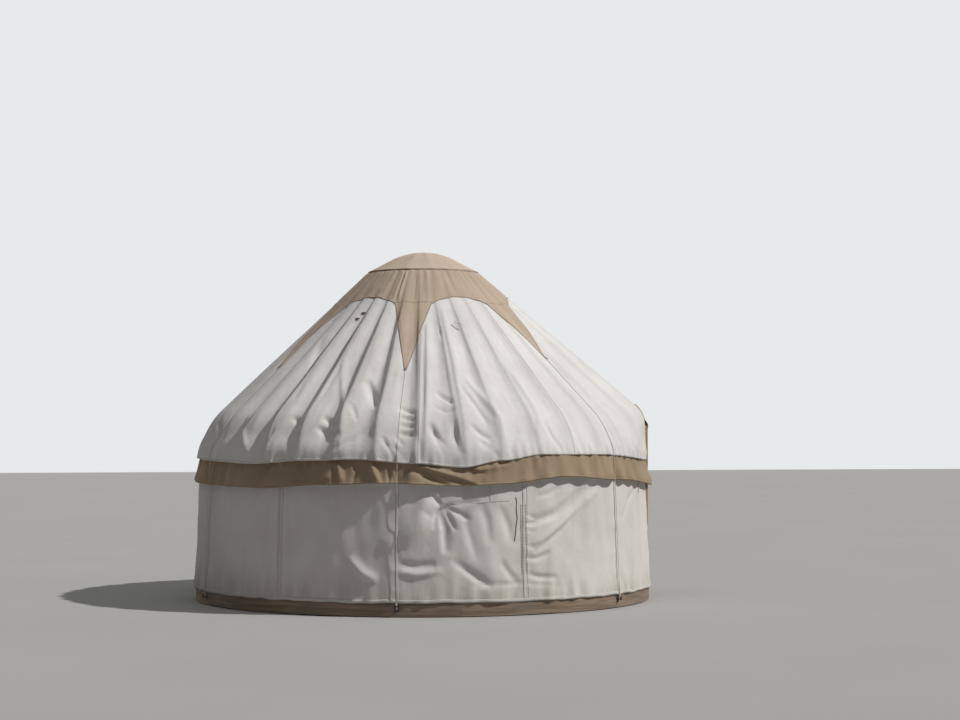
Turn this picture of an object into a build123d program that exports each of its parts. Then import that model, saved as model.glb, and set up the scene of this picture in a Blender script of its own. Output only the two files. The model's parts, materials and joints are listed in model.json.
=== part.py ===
from build123d import *
import os
from math import asin, atan2, cos, degrees, hypot, radians, sin, sqrt, tan

# A round yurt on a low timber platform: a folding lattice wall, bent roof poles mortised into
# a crown wheel, a canvas roof and wall, and a six-pointed cap over the crown.
# Millimetres, +Z up, origin on the ground under the middle of the platform.
# A bearing is an angle about +Z from the middle of the doorway, which faces -Y.

# Fits
lap = 0.3  # clearance between pieces that lie on each other
full_turn = 360
facet_pitch = 5  # degrees between the folds of a drawn cover, at poles and half way between
bend_flats = 5  # in the bend of a pole and of a cover over the knee

# Platform
platform_margin = 70  # from the lattice's flat outer side to the edge of the deck
platform_height = 200
board_thickness = 28
rim_thickness = 22
rim_ground_gap = 8
joist_width = 47
joist_count = 9
joist_inset = 280  # from the edge of the deck to the middle of the last joist

# Lattice wall
pole_pitch = 10  # degrees between roof poles, and between lattice heads
lattice_radius = 2410  # to the flat outer side of the laths
lattice_height = 1420
lath_width = 38
lath_thickness = 12
lath_ear = 60  # height of a lath end past its last crossing
crossing_rows = 6  # half diamonds from the lowest crossing to the highest
bays_per_panel = 5
panel_count = 7
band_height = 80
band_thickness = 3
band_drop = 60  # from the lattice top to the band's upper edge

# Doorway
door_width = 800
door_height = 1540
jamb_width = 100
lintel_height = 100
threshold_height = 40
frame_proud = 15  # of the face of the frame past the lattice
frame_depth = 130

# Crown
crown_radius = 600
crown_rim_width = 115
crown_rim_height = 100
arch_radius = 750  # of the ball that the arches' upper sides lie on
arch_ball_drop = 533  # from the crown's top to that ball's centre
arch_width = 28
arch_thickness = 20
arch_spacing = 170
arch_socket = 20
dome_slack = 3  # how far the cap's gores stand off the arches' ball
dome_steps = 4
dome_gores = 36

# Roof poles
pole_width = 32
pole_depth = 38
door_seat_inset = 156  # from the eave in to where the canvas first rests on a pole, at its bend
wall_seat_inset = 296
pole_drop = 45  # from the crown's top to a pole's top side at the crown
pole_foot_lap = 200  # how far a pole's foot comes down inside the lattice
tenon_size = 24
tenon_length = 32
door_pole_reach = 10  # bearing of the outer poles that stand on the lintel

# Covers
canvas = 5
trim_canvas = 4
roof_slope = 43.4  # on the lattice; over the doorway it follows from the lintel
wall_roof_rise = 196.9  # from the lattice top to where the roof's slope would meet the eave
door_roof_rise = 141.3  # the same from the lintel's top
eave_margin = 36  # from the lattice's flat outer side to the hanging roof canvas
door_knee_radius = 300
wall_knee_radius = 800
raised_reach = 15  # bearing up to which the roof is as high as over the doorway
lowered_reach = 45  # bearing from which it is as low as on the lattice
roof_hem_drop = 120  # these drops are all from the lattice top
wall_top_drop = 20
wall_hem_height = 140
seam_pitch = 30
first_seam = 15
valance_top_drop = 50
valance_bend_drop = 140
valance_hem_drop = 370
valance_flare = 9  # of its hem past the eave

# Cap over the crown
cap_tip_radius = 1710
cap_tip_width = 24
cap_point_radius = 1025  # where a point's straight edge leaves the scallop
cap_point_width = 380  # there
cap_scallop_radius = 935
cap_point_count = 6
cap_first_tip = 15

# Over the doorway
pelmet_top_inset = 106  # from the eave in to its upper edge
pelmet_reach = 12
flap_roll_diameter = 90
flap_roll_length = 900
flap_roll_drop = 48  # from the lintel's top to the middle of the roll

# Ropes from the cap's points to hooks on the platform
rope_diameter = 8
rope_lean = 2.3
rope_tip_gap = 3
hook_height = 90
hook_bar = 10
hook_tip_rise = 28
hook_tip_reach = 15
hook_plate_width = 40
hook_plate_height = 60
hook_plate_thickness = 4

# Sizes that follow
platform_radius = lattice_radius + platform_margin
joist_pitch = 2 * (platform_radius - joist_inset) / (joist_count - 1)
frame_front = lattice_radius + frame_proud
eave_radius = lattice_radius + eave_margin
frame_half_width = door_width / 2 + jamb_width
lintel_bottom = platform_height + threshold_height + door_height
lintel_top = lintel_bottom + lintel_height
lattice_top = platform_height + lattice_height
roof_notch_height = lintel_top + lap
half_pitch = radians(pole_pitch / 2)
half_facet = radians(facet_pitch / 2)
crown_corner = crown_radius / cos(half_facet)
roof_span = eave_radius - crown_corner
crown_top = lattice_top + wall_roof_rise + roof_span * tan(radians(roof_slope))
door_roof_slope = degrees(atan2(crown_top - lintel_top - door_roof_rise, roof_span))
arch_ball_height = crown_top - arch_ball_drop
lattice_corner_radius = lattice_radius / cos(half_pitch)
band_inner = lattice_corner_radius + lap
band_outer = band_inner + band_thickness
band_top = lattice_top - band_drop
pole_outer = lattice_radius - 2 * lath_thickness - lap
door_pole_seat = eave_radius - door_seat_inset
wall_pole_seat = eave_radius - wall_seat_inset
roof_hem_height = lattice_top - roof_hem_drop
wall_top_height = lattice_top - wall_top_drop
valance_top_height = lattice_top - valance_top_drop
valance_bend_height = lattice_top - valance_bend_drop
valance_hem_height = lattice_top - valance_hem_drop
valance_hem_radius = eave_radius + valance_flare
pelmet_top_radius = eave_radius - pelmet_top_inset


def at_bearing(shape, bearing):
    """Turn a shape that was built towards +X to its bearing."""
    return Rot(0, 0, bearing - 90) * shape


def column(radius, bottom, top):
    return Pos(0, 0, bottom) * Cylinder(radius, top - bottom, align=(Align.CENTER, Align.CENTER, Align.MIN))


def door_gap(half_width, bottom, top):
    """The block of space in front of the axis that the doorway takes."""
    depth = 2 * platform_radius
    block = Box(2 * half_width, depth, top - bottom, align=(Align.CENTER, Align.MAX, Align.MIN))
    return Pos(0, 0, bottom) * block


def upright_face(points):
    """A face in the upright plane through the axis, from (radius, height) points."""
    return Plane.XZ * make_face(Polyline(*points, close=True))


def bend_corners(centre, radius, turn):
    """Corners of a bend made of flats, from a slope that falls outwards to the upright."""
    step = turn / bend_flats
    reach = radius / cos(radians(step / 2))
    angles = [radians(turn - (number + 1 / 2) * step) for number in range(bend_flats)]
    return [(centre[0] + reach * cos(angle), centre[1] + reach * sin(angle)) for angle in angles]


def drawn_cover(section, start, end):
    """A cover drawn straight from one upright section to the next, between two bearings."""
    bearings = [start, *(bearing for bearing in range(start + 1, end) if bearing % facet_pitch == 0), end]
    return loft([at_bearing(section(bearing), bearing) for bearing in bearings], ruled=True)


def raised_share(bearing):
    """How far the roof is raised to its height over the doorway: 1 there, 0 on the lattice."""
    away = abs((bearing + full_turn / 2) % full_turn - full_turn / 2)
    share = (away - raised_reach) / (lowered_reach - raised_reach)
    return (1 + cos(radians(180 * min(max(share, 0), 1)))) / 2


class RoofLine:
    """The inner face of the roof canvas at one bearing: a slope, a knee and a drop to the hem."""

    def __init__(self, bearing):
        raised = raised_share(bearing)
        self.angle = roof_slope + raised * (door_roof_slope - roof_slope)
        self.turn = 90 - self.angle
        self.knee_radius = wall_knee_radius + raised * (door_knee_radius - wall_knee_radius)
        self.pole_seat = wall_pole_seat + raised * (door_pole_seat - wall_pole_seat)
        drop = self.knee_radius * tan(radians(self.turn / 2))
        self.centre = (eave_radius - self.knee_radius, self.height(eave_radius, 0) - drop)

    def height(self, radius, proud):
        """Height of the slope at a radius, on a surface that lies `proud` outside the inner face."""
        rise = (lap + proud) / cos(radians(self.angle))
        return crown_top + rise - (radius - crown_corner) * tan(radians(self.angle))

    def slope_point(self, radius, proud):
        return (radius, self.height(radius, proud))

    def run(self, proud, top_radius, hem_height):
        """Corners of a line that follows the roof, bends over the knee and hangs down."""
        knee = bend_corners(self.centre, self.knee_radius + proud, self.turn)
        return [self.slope_point(top_radius, proud), *knee, (eave_radius + proud, hem_height)]

    def cover_face(self, inner, outer, top_radius, hem_height):
        """Section of a cover between two such lines."""
        outside = self.run(outer, top_radius, hem_height)
        inside = self.run(inner, top_radius, hem_height)
        return upright_face([*outside, *reversed(inside)])


def platform():
    deck = column(platform_radius, platform_height - board_thickness, platform_height)
    joist_top = platform_height - board_thickness
    rim = column(platform_radius, rim_ground_gap, joist_top)
    rim -= column(platform_radius - rim_thickness, rim_ground_gap, joist_top)
    inside = column(platform_radius - rim_thickness - lap, 0, joist_top)
    joists = []
    for number in range(joist_count):
        across = (number - (joist_count - 1) / 2) * joist_pitch
        beam = Box(joist_width, 2 * platform_radius, 2 * joist_top)
        joists.append(Pos(across, 0, 0) * beam & inside)
    return {"floor_deck": deck, "platform_rim": rim, "platform_joists": Compound(joists)}


def lattice_bay():
    """The laths between two mitre planes, in two layers that cross, seen from outside along -X."""
    lowest = platform_height + lath_ear
    diamond_height = 2 * (lattice_height - 2 * lath_ear) / crossing_rows
    seam_radius = lattice_radius - lath_thickness
    bay_width = 2 * seam_radius * tan(half_pitch)
    lath_angle = degrees(atan2(diamond_height, bay_width))
    lath_length = 2 * hypot(diamond_height, bay_width)
    lath = Box(lath_thickness, lath_length, lath_width)
    laths = []
    for lean, middle in ((1, seam_radius + lath_thickness / 2), (-1, seam_radius - lath_thickness / 2)):
        for row in range(-1, crossing_rows // 2 + 2):
            place = Pos(middle, 0, lowest + row * diamond_height)
            laths.append(place * Rot(lean * lath_angle, 0, 0) * lath)
    reach = 2 * lattice_radius
    mitre = Polyline((0, 0), (reach, -reach * tan(half_pitch)), (reach, reach * tan(half_pitch)), close=True)
    wedge = Pos(0, 0, platform_height) * extrude(make_face(mitre), lattice_height)
    return (Part() + laths) & wedge


def lattice_wall():
    """Panels of equal bays from one door jamb round to the other."""
    bay = lattice_bay()
    frame = door_gap(frame_half_width + lap, 0, crown_top)
    panels = {}
    for panel in range(panel_count):
        first = 1 + panel * bays_per_panel
        bays = [at_bearing(bay, (first + step) * pole_pitch) for step in range(bays_per_panel)]
        wall = Part() + bays
        if panel in (0, panel_count - 1):
            wall -= frame
        panels[f"lattice_panel_{panel + 1}"] = wall
    band_bottom = band_top - band_height
    band = column(band_outer, band_bottom, band_top) - column(band_inner, band_bottom, band_top)
    panels["tension_band"] = band - frame
    return panels


def door_frame():
    depth_middle = -(frame_front - frame_depth / 2)
    jamb_height = lintel_bottom - platform_height
    jamb = Box(jamb_width, frame_depth, jamb_height, align=(Align.CENTER, Align.CENTER, Align.MIN))
    across = (door_width + jamb_width) / 2
    jambs = [Pos(side * across, depth_middle, platform_height) * jamb for side in (-1, 1)]
    lintel = Box(2 * frame_half_width, frame_depth, lintel_height)
    threshold = Box(door_width, frame_depth, threshold_height)
    return {
        "door_jambs": Compound(jambs),
        "door_lintel": Pos(0, depth_middle, lintel_bottom + lintel_height / 2) * lintel,
        "door_threshold": Pos(0, depth_middle, platform_height + threshold_height / 2) * threshold,
    }


def pole_run(bearing):
    """Where a pole's upper side starts at its bend, where it meets the crown, and its slope."""
    line = RoofLine(bearing)
    beside = [RoofLine(bearing + side).height(line.pole_seat, 0) for side in (-facet_pitch, facet_pitch)]
    fall = line.height(line.pole_seat, 0) - min(beside)
    side_slope = sin(half_facet) + fall / line.pole_seat / radians(facet_pitch)
    seat = line.slope_point(line.pole_seat, -lap - pole_width / 2 * side_slope)
    head = (crown_radius, crown_top - pole_drop)
    return seat, head, degrees(atan2(head[1] - seat[1], seat[0] - head[0]))


def tenon(bearing, clearance):
    """The square end of a pole, which enters the crown rim in line with the pole."""
    head, angle = pole_run(bearing)[1:]
    size = tenon_size + 2 * clearance
    length = 2 * tenon_length + 2 * clearance
    across = head[0] - pole_depth / 2 * sin(radians(angle))
    height = head[1] - pole_depth / 2 * cos(radians(angle))
    return Pos(across, 0, height) * Rot(0, angle, 0) * Box(length, size, size)


def roof_pole(bearing):
    """A pole that stands at the wall, bends over the knee and runs up into the crown."""
    seat, head, angle = pole_run(bearing)
    foot_height = lintel_top if abs(bearing) <= door_pole_reach else lattice_top - pole_foot_lap
    turn = 90 - angle
    half_step = turn / bend_flats / 2
    first_corner = radians(turn - half_step)
    bend = (pole_outer - seat[0]) / (1 - cos(first_corner) / cos(radians(half_step)))
    centre = (pole_outer - bend, seat[1] - bend * sin(first_corner) / cos(radians(half_step)))
    shoulder = crown_radius + lap
    sides = []
    for inset in (0, pole_depth):
        top = seat[1] + (seat[0] - shoulder) * tan(radians(angle)) - inset / cos(radians(angle))
        foot = (pole_outer - inset, foot_height)
        sides.append([(shoulder, top), *bend_corners(centre, bend - inset, turn), foot])
    outside, inside = sides
    pole = extrude(upright_face([*outside, *reversed(inside)]), pole_width / 2, both=True)
    return at_bearing(pole + tenon(bearing, 0), bearing)


def roof_poles():
    """The poles on the lattice heads in three groups, and the three that stand on the lintel."""
    group = (full_turn - 2 * door_pole_reach - pole_pitch) // 3
    first = door_pole_reach + pole_pitch
    bearings = {"door_poles": range(-door_pole_reach, first, pole_pitch)}
    for number, name in enumerate(("right_poles", "back_poles", "left_poles")):
        start = first + number * group
        bearings[name] = range(start, start + group, pole_pitch)
    return {name: Compound([roof_pole(bearing) for bearing in group]) for name, group in bearings.items()}


def arch(offset, clearance):
    """A bent rail across the crown, with its ends carried down into the rim."""
    edge = abs(offset) + arch_width / 2
    outer = sqrt(arch_radius**2 - edge**2) + clearance
    inner = outer - arch_thickness - 2 * clearance
    ring = Circle(outer) - Circle(inner)
    rail = extrude(Plane.XZ * ring, arch_width / 2 + clearance, both=True)
    socket_bottom = crown_top - arch_socket - clearance
    above = Box(4 * arch_radius, arch_width * 2, arch_radius, align=(Align.CENTER, Align.CENTER, Align.MIN))
    return Pos(0, offset, 0) * ((Pos(0, 0, arch_ball_height) * rail) & (Pos(0, 0, socket_bottom) * above))


def arches(clearance):
    rails = []
    for turn in (0, 90):
        for step in (-1, 0, 1):
            rails.append(Rot(0, 0, turn) * arch(step * arch_spacing, clearance))
    return Part() + rails


def crown():
    """The rim with a mortise for each pole and sockets for the arches, and the arches."""
    bottom = crown_top - crown_rim_height
    rim = column(crown_radius, bottom, crown_top)
    rim -= column(crown_radius - crown_rim_width, bottom, crown_top)
    rim -= [at_bearing(tenon(bearing, lap), bearing) for bearing in range(0, full_turn, pole_pitch)]
    rim -= arches(lap)
    return {"crown_rim": rim, "crown_arches": arches(0)}


def wall_radius(height):
    """Inner radius of the wall canvas at its folds, on a straight run from the band to the deck."""
    top = (band_outer + lap, band_top)
    foot = (platform_radius + lap, platform_height)
    run = foot[0] + (top[0] - foot[0]) * (height - foot[1]) / (top[1] - foot[1])
    return run / cos(half_facet)


def wall_canvas():
    """Laced lengths of wall canvas; the first and last run on from their seam to the jamb."""
    face = upright_face(
        [
            (wall_radius(wall_top_height), wall_top_height),
            (wall_radius(wall_hem_height), wall_hem_height),
            (wall_radius(wall_hem_height) + canvas, wall_hem_height),
            (wall_radius(wall_top_height) + canvas, wall_top_height),
        ]
    )
    frame = door_gap(frame_half_width + lap, 0, crown_top)
    count = full_turn // seam_pitch - 1
    lengths = {}
    for number in range(count):
        start = first_seam + number * seam_pitch
        end = start + seam_pitch
        if number == 0:
            start -= facet_pitch
        if number == count - 1:
            end += facet_pitch
        length = drawn_cover(lambda bearing: face, start, end)
        if number in (0, count - 1):
            length -= frame
        lengths[f"wall_canvas_{number + 1}"] = length
    return lengths


def roof_canvas():
    """Lengths of roof canvas, sewn along the seams; the one over the doorway is cut away to it."""
    edges = {
        "roof_canvas_door": (-raised_reach, raised_reach),
        "roof_canvas_right_front": (raised_reach, lowered_reach),
        "roof_canvas_right": (lowered_reach, 135),
        "roof_canvas_back": (135, 225),
        "roof_canvas_left": (225, full_turn - lowered_reach),
        "roof_canvas_left_front": (-lowered_reach, -raised_reach),
    }

    def section(bearing):
        return RoofLine(bearing).cover_face(0, canvas, crown_radius, roof_hem_height)

    lengths = {name: drawn_cover(section, start, end) for name, (start, end) in edges.items()}
    lengths["roof_canvas_door"] -= door_gap(frame_half_width + lap, 0, roof_notch_height)
    return lengths


def valance():
    """The band of trim canvas that hangs from under the roof hem, in halves from jamb to back."""
    tuck_top = wall_radius(valance_top_height) + canvas + lap
    tuck_end = wall_radius(valance_bend_height) + canvas + lap
    face = upright_face(
        [
            (tuck_top, valance_top_height),
            (tuck_end, valance_bend_height),
            (valance_hem_radius, valance_hem_height),
            (valance_hem_radius + trim_canvas, valance_hem_height),
            (tuck_end + trim_canvas, valance_bend_height),
            (tuck_top + trim_canvas, valance_top_height),
        ]
    )
    frame = door_gap(frame_half_width + lap, 0, crown_top)
    first = first_seam - facet_pitch
    halves = {"valance_right": (first, full_turn // 2), "valance_left": (full_turn // 2, full_turn - first)}
    return {name: drawn_cover(lambda bearing: face, *ends) - frame for name, ends in halves.items()}


def cap_scallop():
    """The upright block that bites one scallop out of the cap, with the edges of the points beside it."""
    half_step = radians(full_turn / cap_point_count / 2)
    tip_turn = half_step - cap_tip_width / 2 / cap_tip_radius
    root_turn = half_step - asin(cap_point_width / 2 / cap_point_radius)
    root = (cap_point_radius * cos(root_turn), cap_point_radius * sin(root_turn))
    tip = (cap_tip_radius * cos(tip_turn), cap_tip_radius * sin(tip_turn))
    corners = [root, tip, (2 * tip[0], 2 * tip[1])]
    beyond = [(along, -across) for along, across in reversed(corners)]
    edge = Curve() + [ThreePointArc(beyond[-1], (cap_scallop_radius, 0), root), Polyline(*corners, *beyond)]
    return extrude(make_face(edge), 2 * crown_top)


def cap_dome():
    """The cap's top: flat gores laid over the arches and down to the rim's outer edge."""
    edge_height = RoofLine(full_turn / 2).height(crown_radius, canvas + lap)
    ball = arch_radius + lap + dome_slack
    rise = edge_height - arch_ball_height
    span = hypot(crown_radius, rise)
    leave = degrees(atan2(rise, crown_radius) + atan2(sqrt(span**2 - ball**2), ball))
    step = (90 - leave) / dome_steps
    shells = []
    for skin in (canvas, 0):
        rings = [(crown_radius, edge_height + skin / sin(radians(leave)))]
        reach = (ball + skin) / cos(radians(step / 2))
        for number in range(dome_steps):
            angle = radians(leave + (number + 1 / 2) * step)
            rings.append((reach * cos(angle), arch_ball_height + reach * sin(angle)))
        gores = [Pos(0, 0, height) * RegularPolygon(radius, dome_gores) for radius, height in rings]
        shells.append(loft(gores, ruled=True))
    return shells[0] - shells[1]


def crown_cap():
    """The cap: a dome over the crown, and its skirt cut to points and scallops."""
    inner, proud = canvas + lap, canvas + lap + trim_canvas
    start = crown_radius + lap

    def section(bearing):
        line = RoofLine(bearing)
        corners = [line.slope_point(start, inner), line.slope_point(cap_tip_radius, inner)]
        corners += [line.slope_point(cap_tip_radius, proud), line.slope_point(start, proud)]
        return upright_face(corners)

    step = full_turn // cap_point_count
    bite = cap_scallop()
    spans = []
    for tip in range(cap_first_tip, cap_first_tip + full_turn, step):
        spans.append(drawn_cover(section, tip, tip + step) - at_bearing(bite, tip + step / 2))
    return {"crown_cap_dome": cap_dome(), "crown_cap_star": Part() + spans}


def door_covers():
    """The trim panel over the doorway, and the canvas flap rolled up behind the lintel."""
    inner = canvas + lap

    def section(bearing):
        return RoofLine(bearing).cover_face(inner, inner + trim_canvas, pelmet_top_radius, roof_notch_height)

    roll_centre = frame_front - frame_depth - lap - flap_roll_diameter / 2
    roll = Rot(0, 90, 0) * Cylinder(flap_roll_diameter / 2, flap_roll_length)
    return {
        "door_pelmet": drawn_cover(section, -pelmet_reach, pelmet_reach),
        "door_flap_roll": Pos(0, -roll_centre, lintel_top - flap_roll_drop) * roll,
    }


def stay(bearing):
    """A rope from a point of the cap down over the roof and the eave, and the hook that holds it."""
    proud = canvas + lap + rope_diameter / 2
    rope_end = hook_height + hook_bar / 2 + lap
    route = RoofLine(bearing).run(proud, cap_tip_radius + rope_tip_gap, rope_end)[:-1]
    hook_reach = route[-1][0] + (route[-1][1] - rope_end) * tan(radians(rope_lean))
    path = Plane.XZ * Polyline(*route, (hook_reach, rope_end))
    section = Plane(origin=path @ 0, z_dir=path % 0) * RegularPolygon(rope_diameter / 2, 6)
    rope = sweep(section, path=path, transition=Transition.RIGHT)
    start = platform_radius + lap
    outward = (Align.MIN, Align.CENTER, Align.CENTER)
    reach = hook_reach + hook_tip_reach - start
    plate = Box(hook_plate_thickness, hook_plate_width, hook_plate_height, align=outward)
    arm = Box(reach, hook_bar, hook_bar, align=outward)
    tip = Box(hook_bar, hook_bar, hook_tip_rise, align=(Align.MAX, Align.CENTER, Align.MIN))
    hook = Pos(start, 0, hook_height) * (plate + arm + Pos(reach, 0, 0) * tip)
    return at_bearing(rope, bearing), at_bearing(hook, bearing)


def stays():
    step = full_turn // cap_point_count
    pairs = [stay(bearing) for bearing in range(cap_first_tip, cap_first_tip + full_turn, step)]
    ropes, hooks = zip(*pairs)
    return {"tie_ropes": Compound(list(ropes)), "rope_hooks": Compound(list(hooks))}


def main():
    os.makedirs("parts", exist_ok=True)
    groups = (
        platform,
        lattice_wall,
        door_frame,
        roof_poles,
        crown,
        wall_canvas,
        roof_canvas,
        valance,
        crown_cap,
        door_covers,
        stays,
    )
    for group in groups:
        for name, shape in group().items():
            export_step(shape, f"parts/{name}.step")


main()
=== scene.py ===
import json
from math import asin, atan2, cos, hypot, pi, radians, sin, sqrt

import bmesh
import bpy
import numpy as np
from mathutils import Matrix, Vector

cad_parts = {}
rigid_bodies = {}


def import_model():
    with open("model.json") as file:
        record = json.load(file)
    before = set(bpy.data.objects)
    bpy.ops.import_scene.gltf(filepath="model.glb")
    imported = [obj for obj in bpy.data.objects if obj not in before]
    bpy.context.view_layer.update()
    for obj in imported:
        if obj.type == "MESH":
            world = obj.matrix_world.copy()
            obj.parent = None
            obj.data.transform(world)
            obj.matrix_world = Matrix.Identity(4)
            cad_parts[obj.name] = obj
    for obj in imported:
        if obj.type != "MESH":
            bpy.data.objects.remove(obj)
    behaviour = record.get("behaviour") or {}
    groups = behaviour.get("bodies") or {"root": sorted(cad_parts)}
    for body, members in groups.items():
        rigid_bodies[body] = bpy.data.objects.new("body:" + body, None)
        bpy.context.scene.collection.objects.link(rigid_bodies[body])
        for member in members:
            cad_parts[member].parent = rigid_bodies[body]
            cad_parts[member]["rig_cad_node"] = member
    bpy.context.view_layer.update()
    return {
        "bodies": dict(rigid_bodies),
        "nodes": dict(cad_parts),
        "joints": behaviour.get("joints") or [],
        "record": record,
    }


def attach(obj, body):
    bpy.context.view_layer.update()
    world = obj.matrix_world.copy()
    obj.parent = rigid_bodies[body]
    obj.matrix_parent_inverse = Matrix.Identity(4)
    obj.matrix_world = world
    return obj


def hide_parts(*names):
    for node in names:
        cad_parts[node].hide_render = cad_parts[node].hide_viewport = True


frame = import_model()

# Metres, +Z up. A bearing is an angle in degrees about +Z from the middle of the doorway,
# which faces -Y. A place on a cover is a bearing and the way down it from its top.

CROWN_RADIUS = 0.6
CROWN_TOP = 3.562
EAVE_RADIUS = 2.446
POLE_PITCH = 10
POLES = 36
ROOF_SLOPE = 43.4
ROOF_KNEE = 0.8

# Over the doorway the roof rises: its slope and knee there, half the width of the rise at
# its full height, and the bearings over which it falls away
RAISED_SLOPE = 39.86
RAISED_KNEE = 0.3
RAISED_HALF = 15
RAISED_FALL = 30

# The solids under the covers have flats 5 degrees wide, and so corners that stand out more
FLAT_TO_CORNER = cos(radians(2.5))

DECK_RADIUS = 2.48
DECK_TOP = 0.2
FRAME_HALF_WIDTH = 0.5
LINTEL_TOP = 1.88
PELMET_REACH = 2.4275
BAND_TOP = 1.56
WALL_TOP_RADIUS = 2.4233
WALL_FOOT_RADIUS = 2.4806
LATTICE_RADIUS = 2.4
LATTICE_OUTSIDE = 2.4225
SEAM_FIRST = 15
SEAM_PITCH = 30

# The cap's six points, the scallops between them, and the ball that its dome is part of
TIP_FIRST = 15
TIP_PITCH = 60
TIPS = range(TIP_FIRST, TIP_FIRST + 360, TIP_PITCH)
TIP_RADII = (1.71, 1.70, 1.73, 1.69, 1.745, 1.61)
POINT_RADIUS = 1.025
POINT_WIDTH = 0.38
SCALLOP_RADIUS = 0.935
SKIRT_TOP_RADIUS = 0.603
RING_SEAM_RADIUS = 1.0
DOME_BALL = 0.7605
DOME_CENTRE = 3.029
DOME_SEAM_RADIUS = CROWN_RADIUS + 0.004
DOME_SEAM_HEIGHT = 3.57
DOME_GORE = 30

HOOK_HEIGHT = 0.0985
THREADS = 200.0
STITCHES = 110.0
GRAIN_STRETCH = 0.07


# Camera, stage and lights


def place_camera():
    data = bpy.data.cameras.new("camera")
    data.lens = 76.16
    data.sensor_width = 36
    camera = bpy.data.objects.new("camera", data)
    camera.location = (-22.174, 3.512, 1.888)
    camera.rotation_euler = (radians(91.83), 0, radians(-100.6))
    bpy.context.scene.collection.objects.link(camera)
    bpy.context.scene.camera = camera


def light(name, bearing, elevation, energy, angle, colour):
    """A lamp as far off as the sun, from a bearing and an elevation, and as wide as its angle."""
    data = bpy.data.lights.new(name, "SUN")
    data.energy = energy
    data.angle = radians(angle)
    data.color = colour
    lamp = bpy.data.objects.new(name, data)
    turn, lift = radians(bearing), radians(elevation)
    towards = Vector((sin(turn) * cos(lift), -cos(turn) * cos(lift), sin(lift)))
    lamp.rotation_euler = towards.to_track_quat("Z", "Y").to_euler()
    bpy.context.scene.collection.objects.link(lamp)


def light_scene():
    """Two lamps, a dim even sky, and a pale backdrop that only the camera and gloss see."""
    light("key_light", -25, 47, energy=2.95, angle=1.5, colour=(1.0, 0.985, 0.965))
    light("fill_light", -120, 82, energy=0.42, angle=70, colour=(0.97, 0.97, 1.0))
    world = bpy.data.worlds.new("studio")
    world.use_nodes = True
    tree = world.node_tree
    tree.nodes.clear()
    rays = tree.nodes.new("ShaderNodeLightPath")
    soft = tree.nodes.new("ShaderNodeBackground")
    soft.inputs["Color"].default_value = (0.95, 0.96, 1.0, 1)
    soft.inputs["Strength"].default_value = 0.06
    backdrop = tree.nodes.new("ShaderNodeBackground")
    backdrop.inputs["Color"].default_value = (0.80, 0.82, 0.83, 1)
    backdrop.inputs["Strength"].default_value = 1.0
    seen = tree.nodes.new("ShaderNodeMath")
    seen.operation = "MAXIMUM"
    tree.links.new(rays.outputs["Is Camera Ray"], seen.inputs[0])
    tree.links.new(rays.outputs["Is Glossy Ray"], seen.inputs[1])
    mix = tree.nodes.new("ShaderNodeMixShader")
    tree.links.new(seen.outputs[0], mix.inputs[0])
    tree.links.new(soft.outputs[0], mix.inputs[1])
    tree.links.new(backdrop.outputs[0], mix.inputs[2])
    output = tree.nodes.new("ShaderNodeOutputWorld")
    tree.links.new(mix.outputs[0], output.inputs["Surface"])
    bpy.context.scene.world = world
    bpy.context.scene.view_settings.view_transform = "Standard"


# Shader expressions


class Value:
    """A socket that can be used in Python expressions, each adding its node."""

    def __init__(self, finish, socket):
        self.finish = finish
        self.socket = socket

    def math(self, operation, *others):
        sockets = {number: other for number, other in enumerate((self, *others))}
        return self.finish.node("ShaderNodeMath", {"operation": operation}, sockets)

    def __add__(self, other):
        return self.math("ADD", other)

    def __mul__(self, other):
        return self.math("MULTIPLY", other)

    def __sub__(self, other):
        return self.math("SUBTRACT", other)

    def __rsub__(self, other):
        return self.finish.node("ShaderNodeMath", {"operation": "SUBTRACT"}, {0: other, 1: self})

    __radd__ = __add__
    __rmul__ = __mul__

    def below(self, other):
        return self.math("LESS_THAN", other)

    def fraction(self):
        return self.math("FRACT")

    def size(self):
        return self.math("ABSOLUTE")

    def step(self, low, high):
        """0 below low, 1 above high and smooth between."""
        sockets = {"Value": self, "From Min": low, "From Max": high}
        return self.finish.node("ShaderNodeMapRange", {"interpolation_type": "SMOOTHSTEP"}, sockets)


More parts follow.
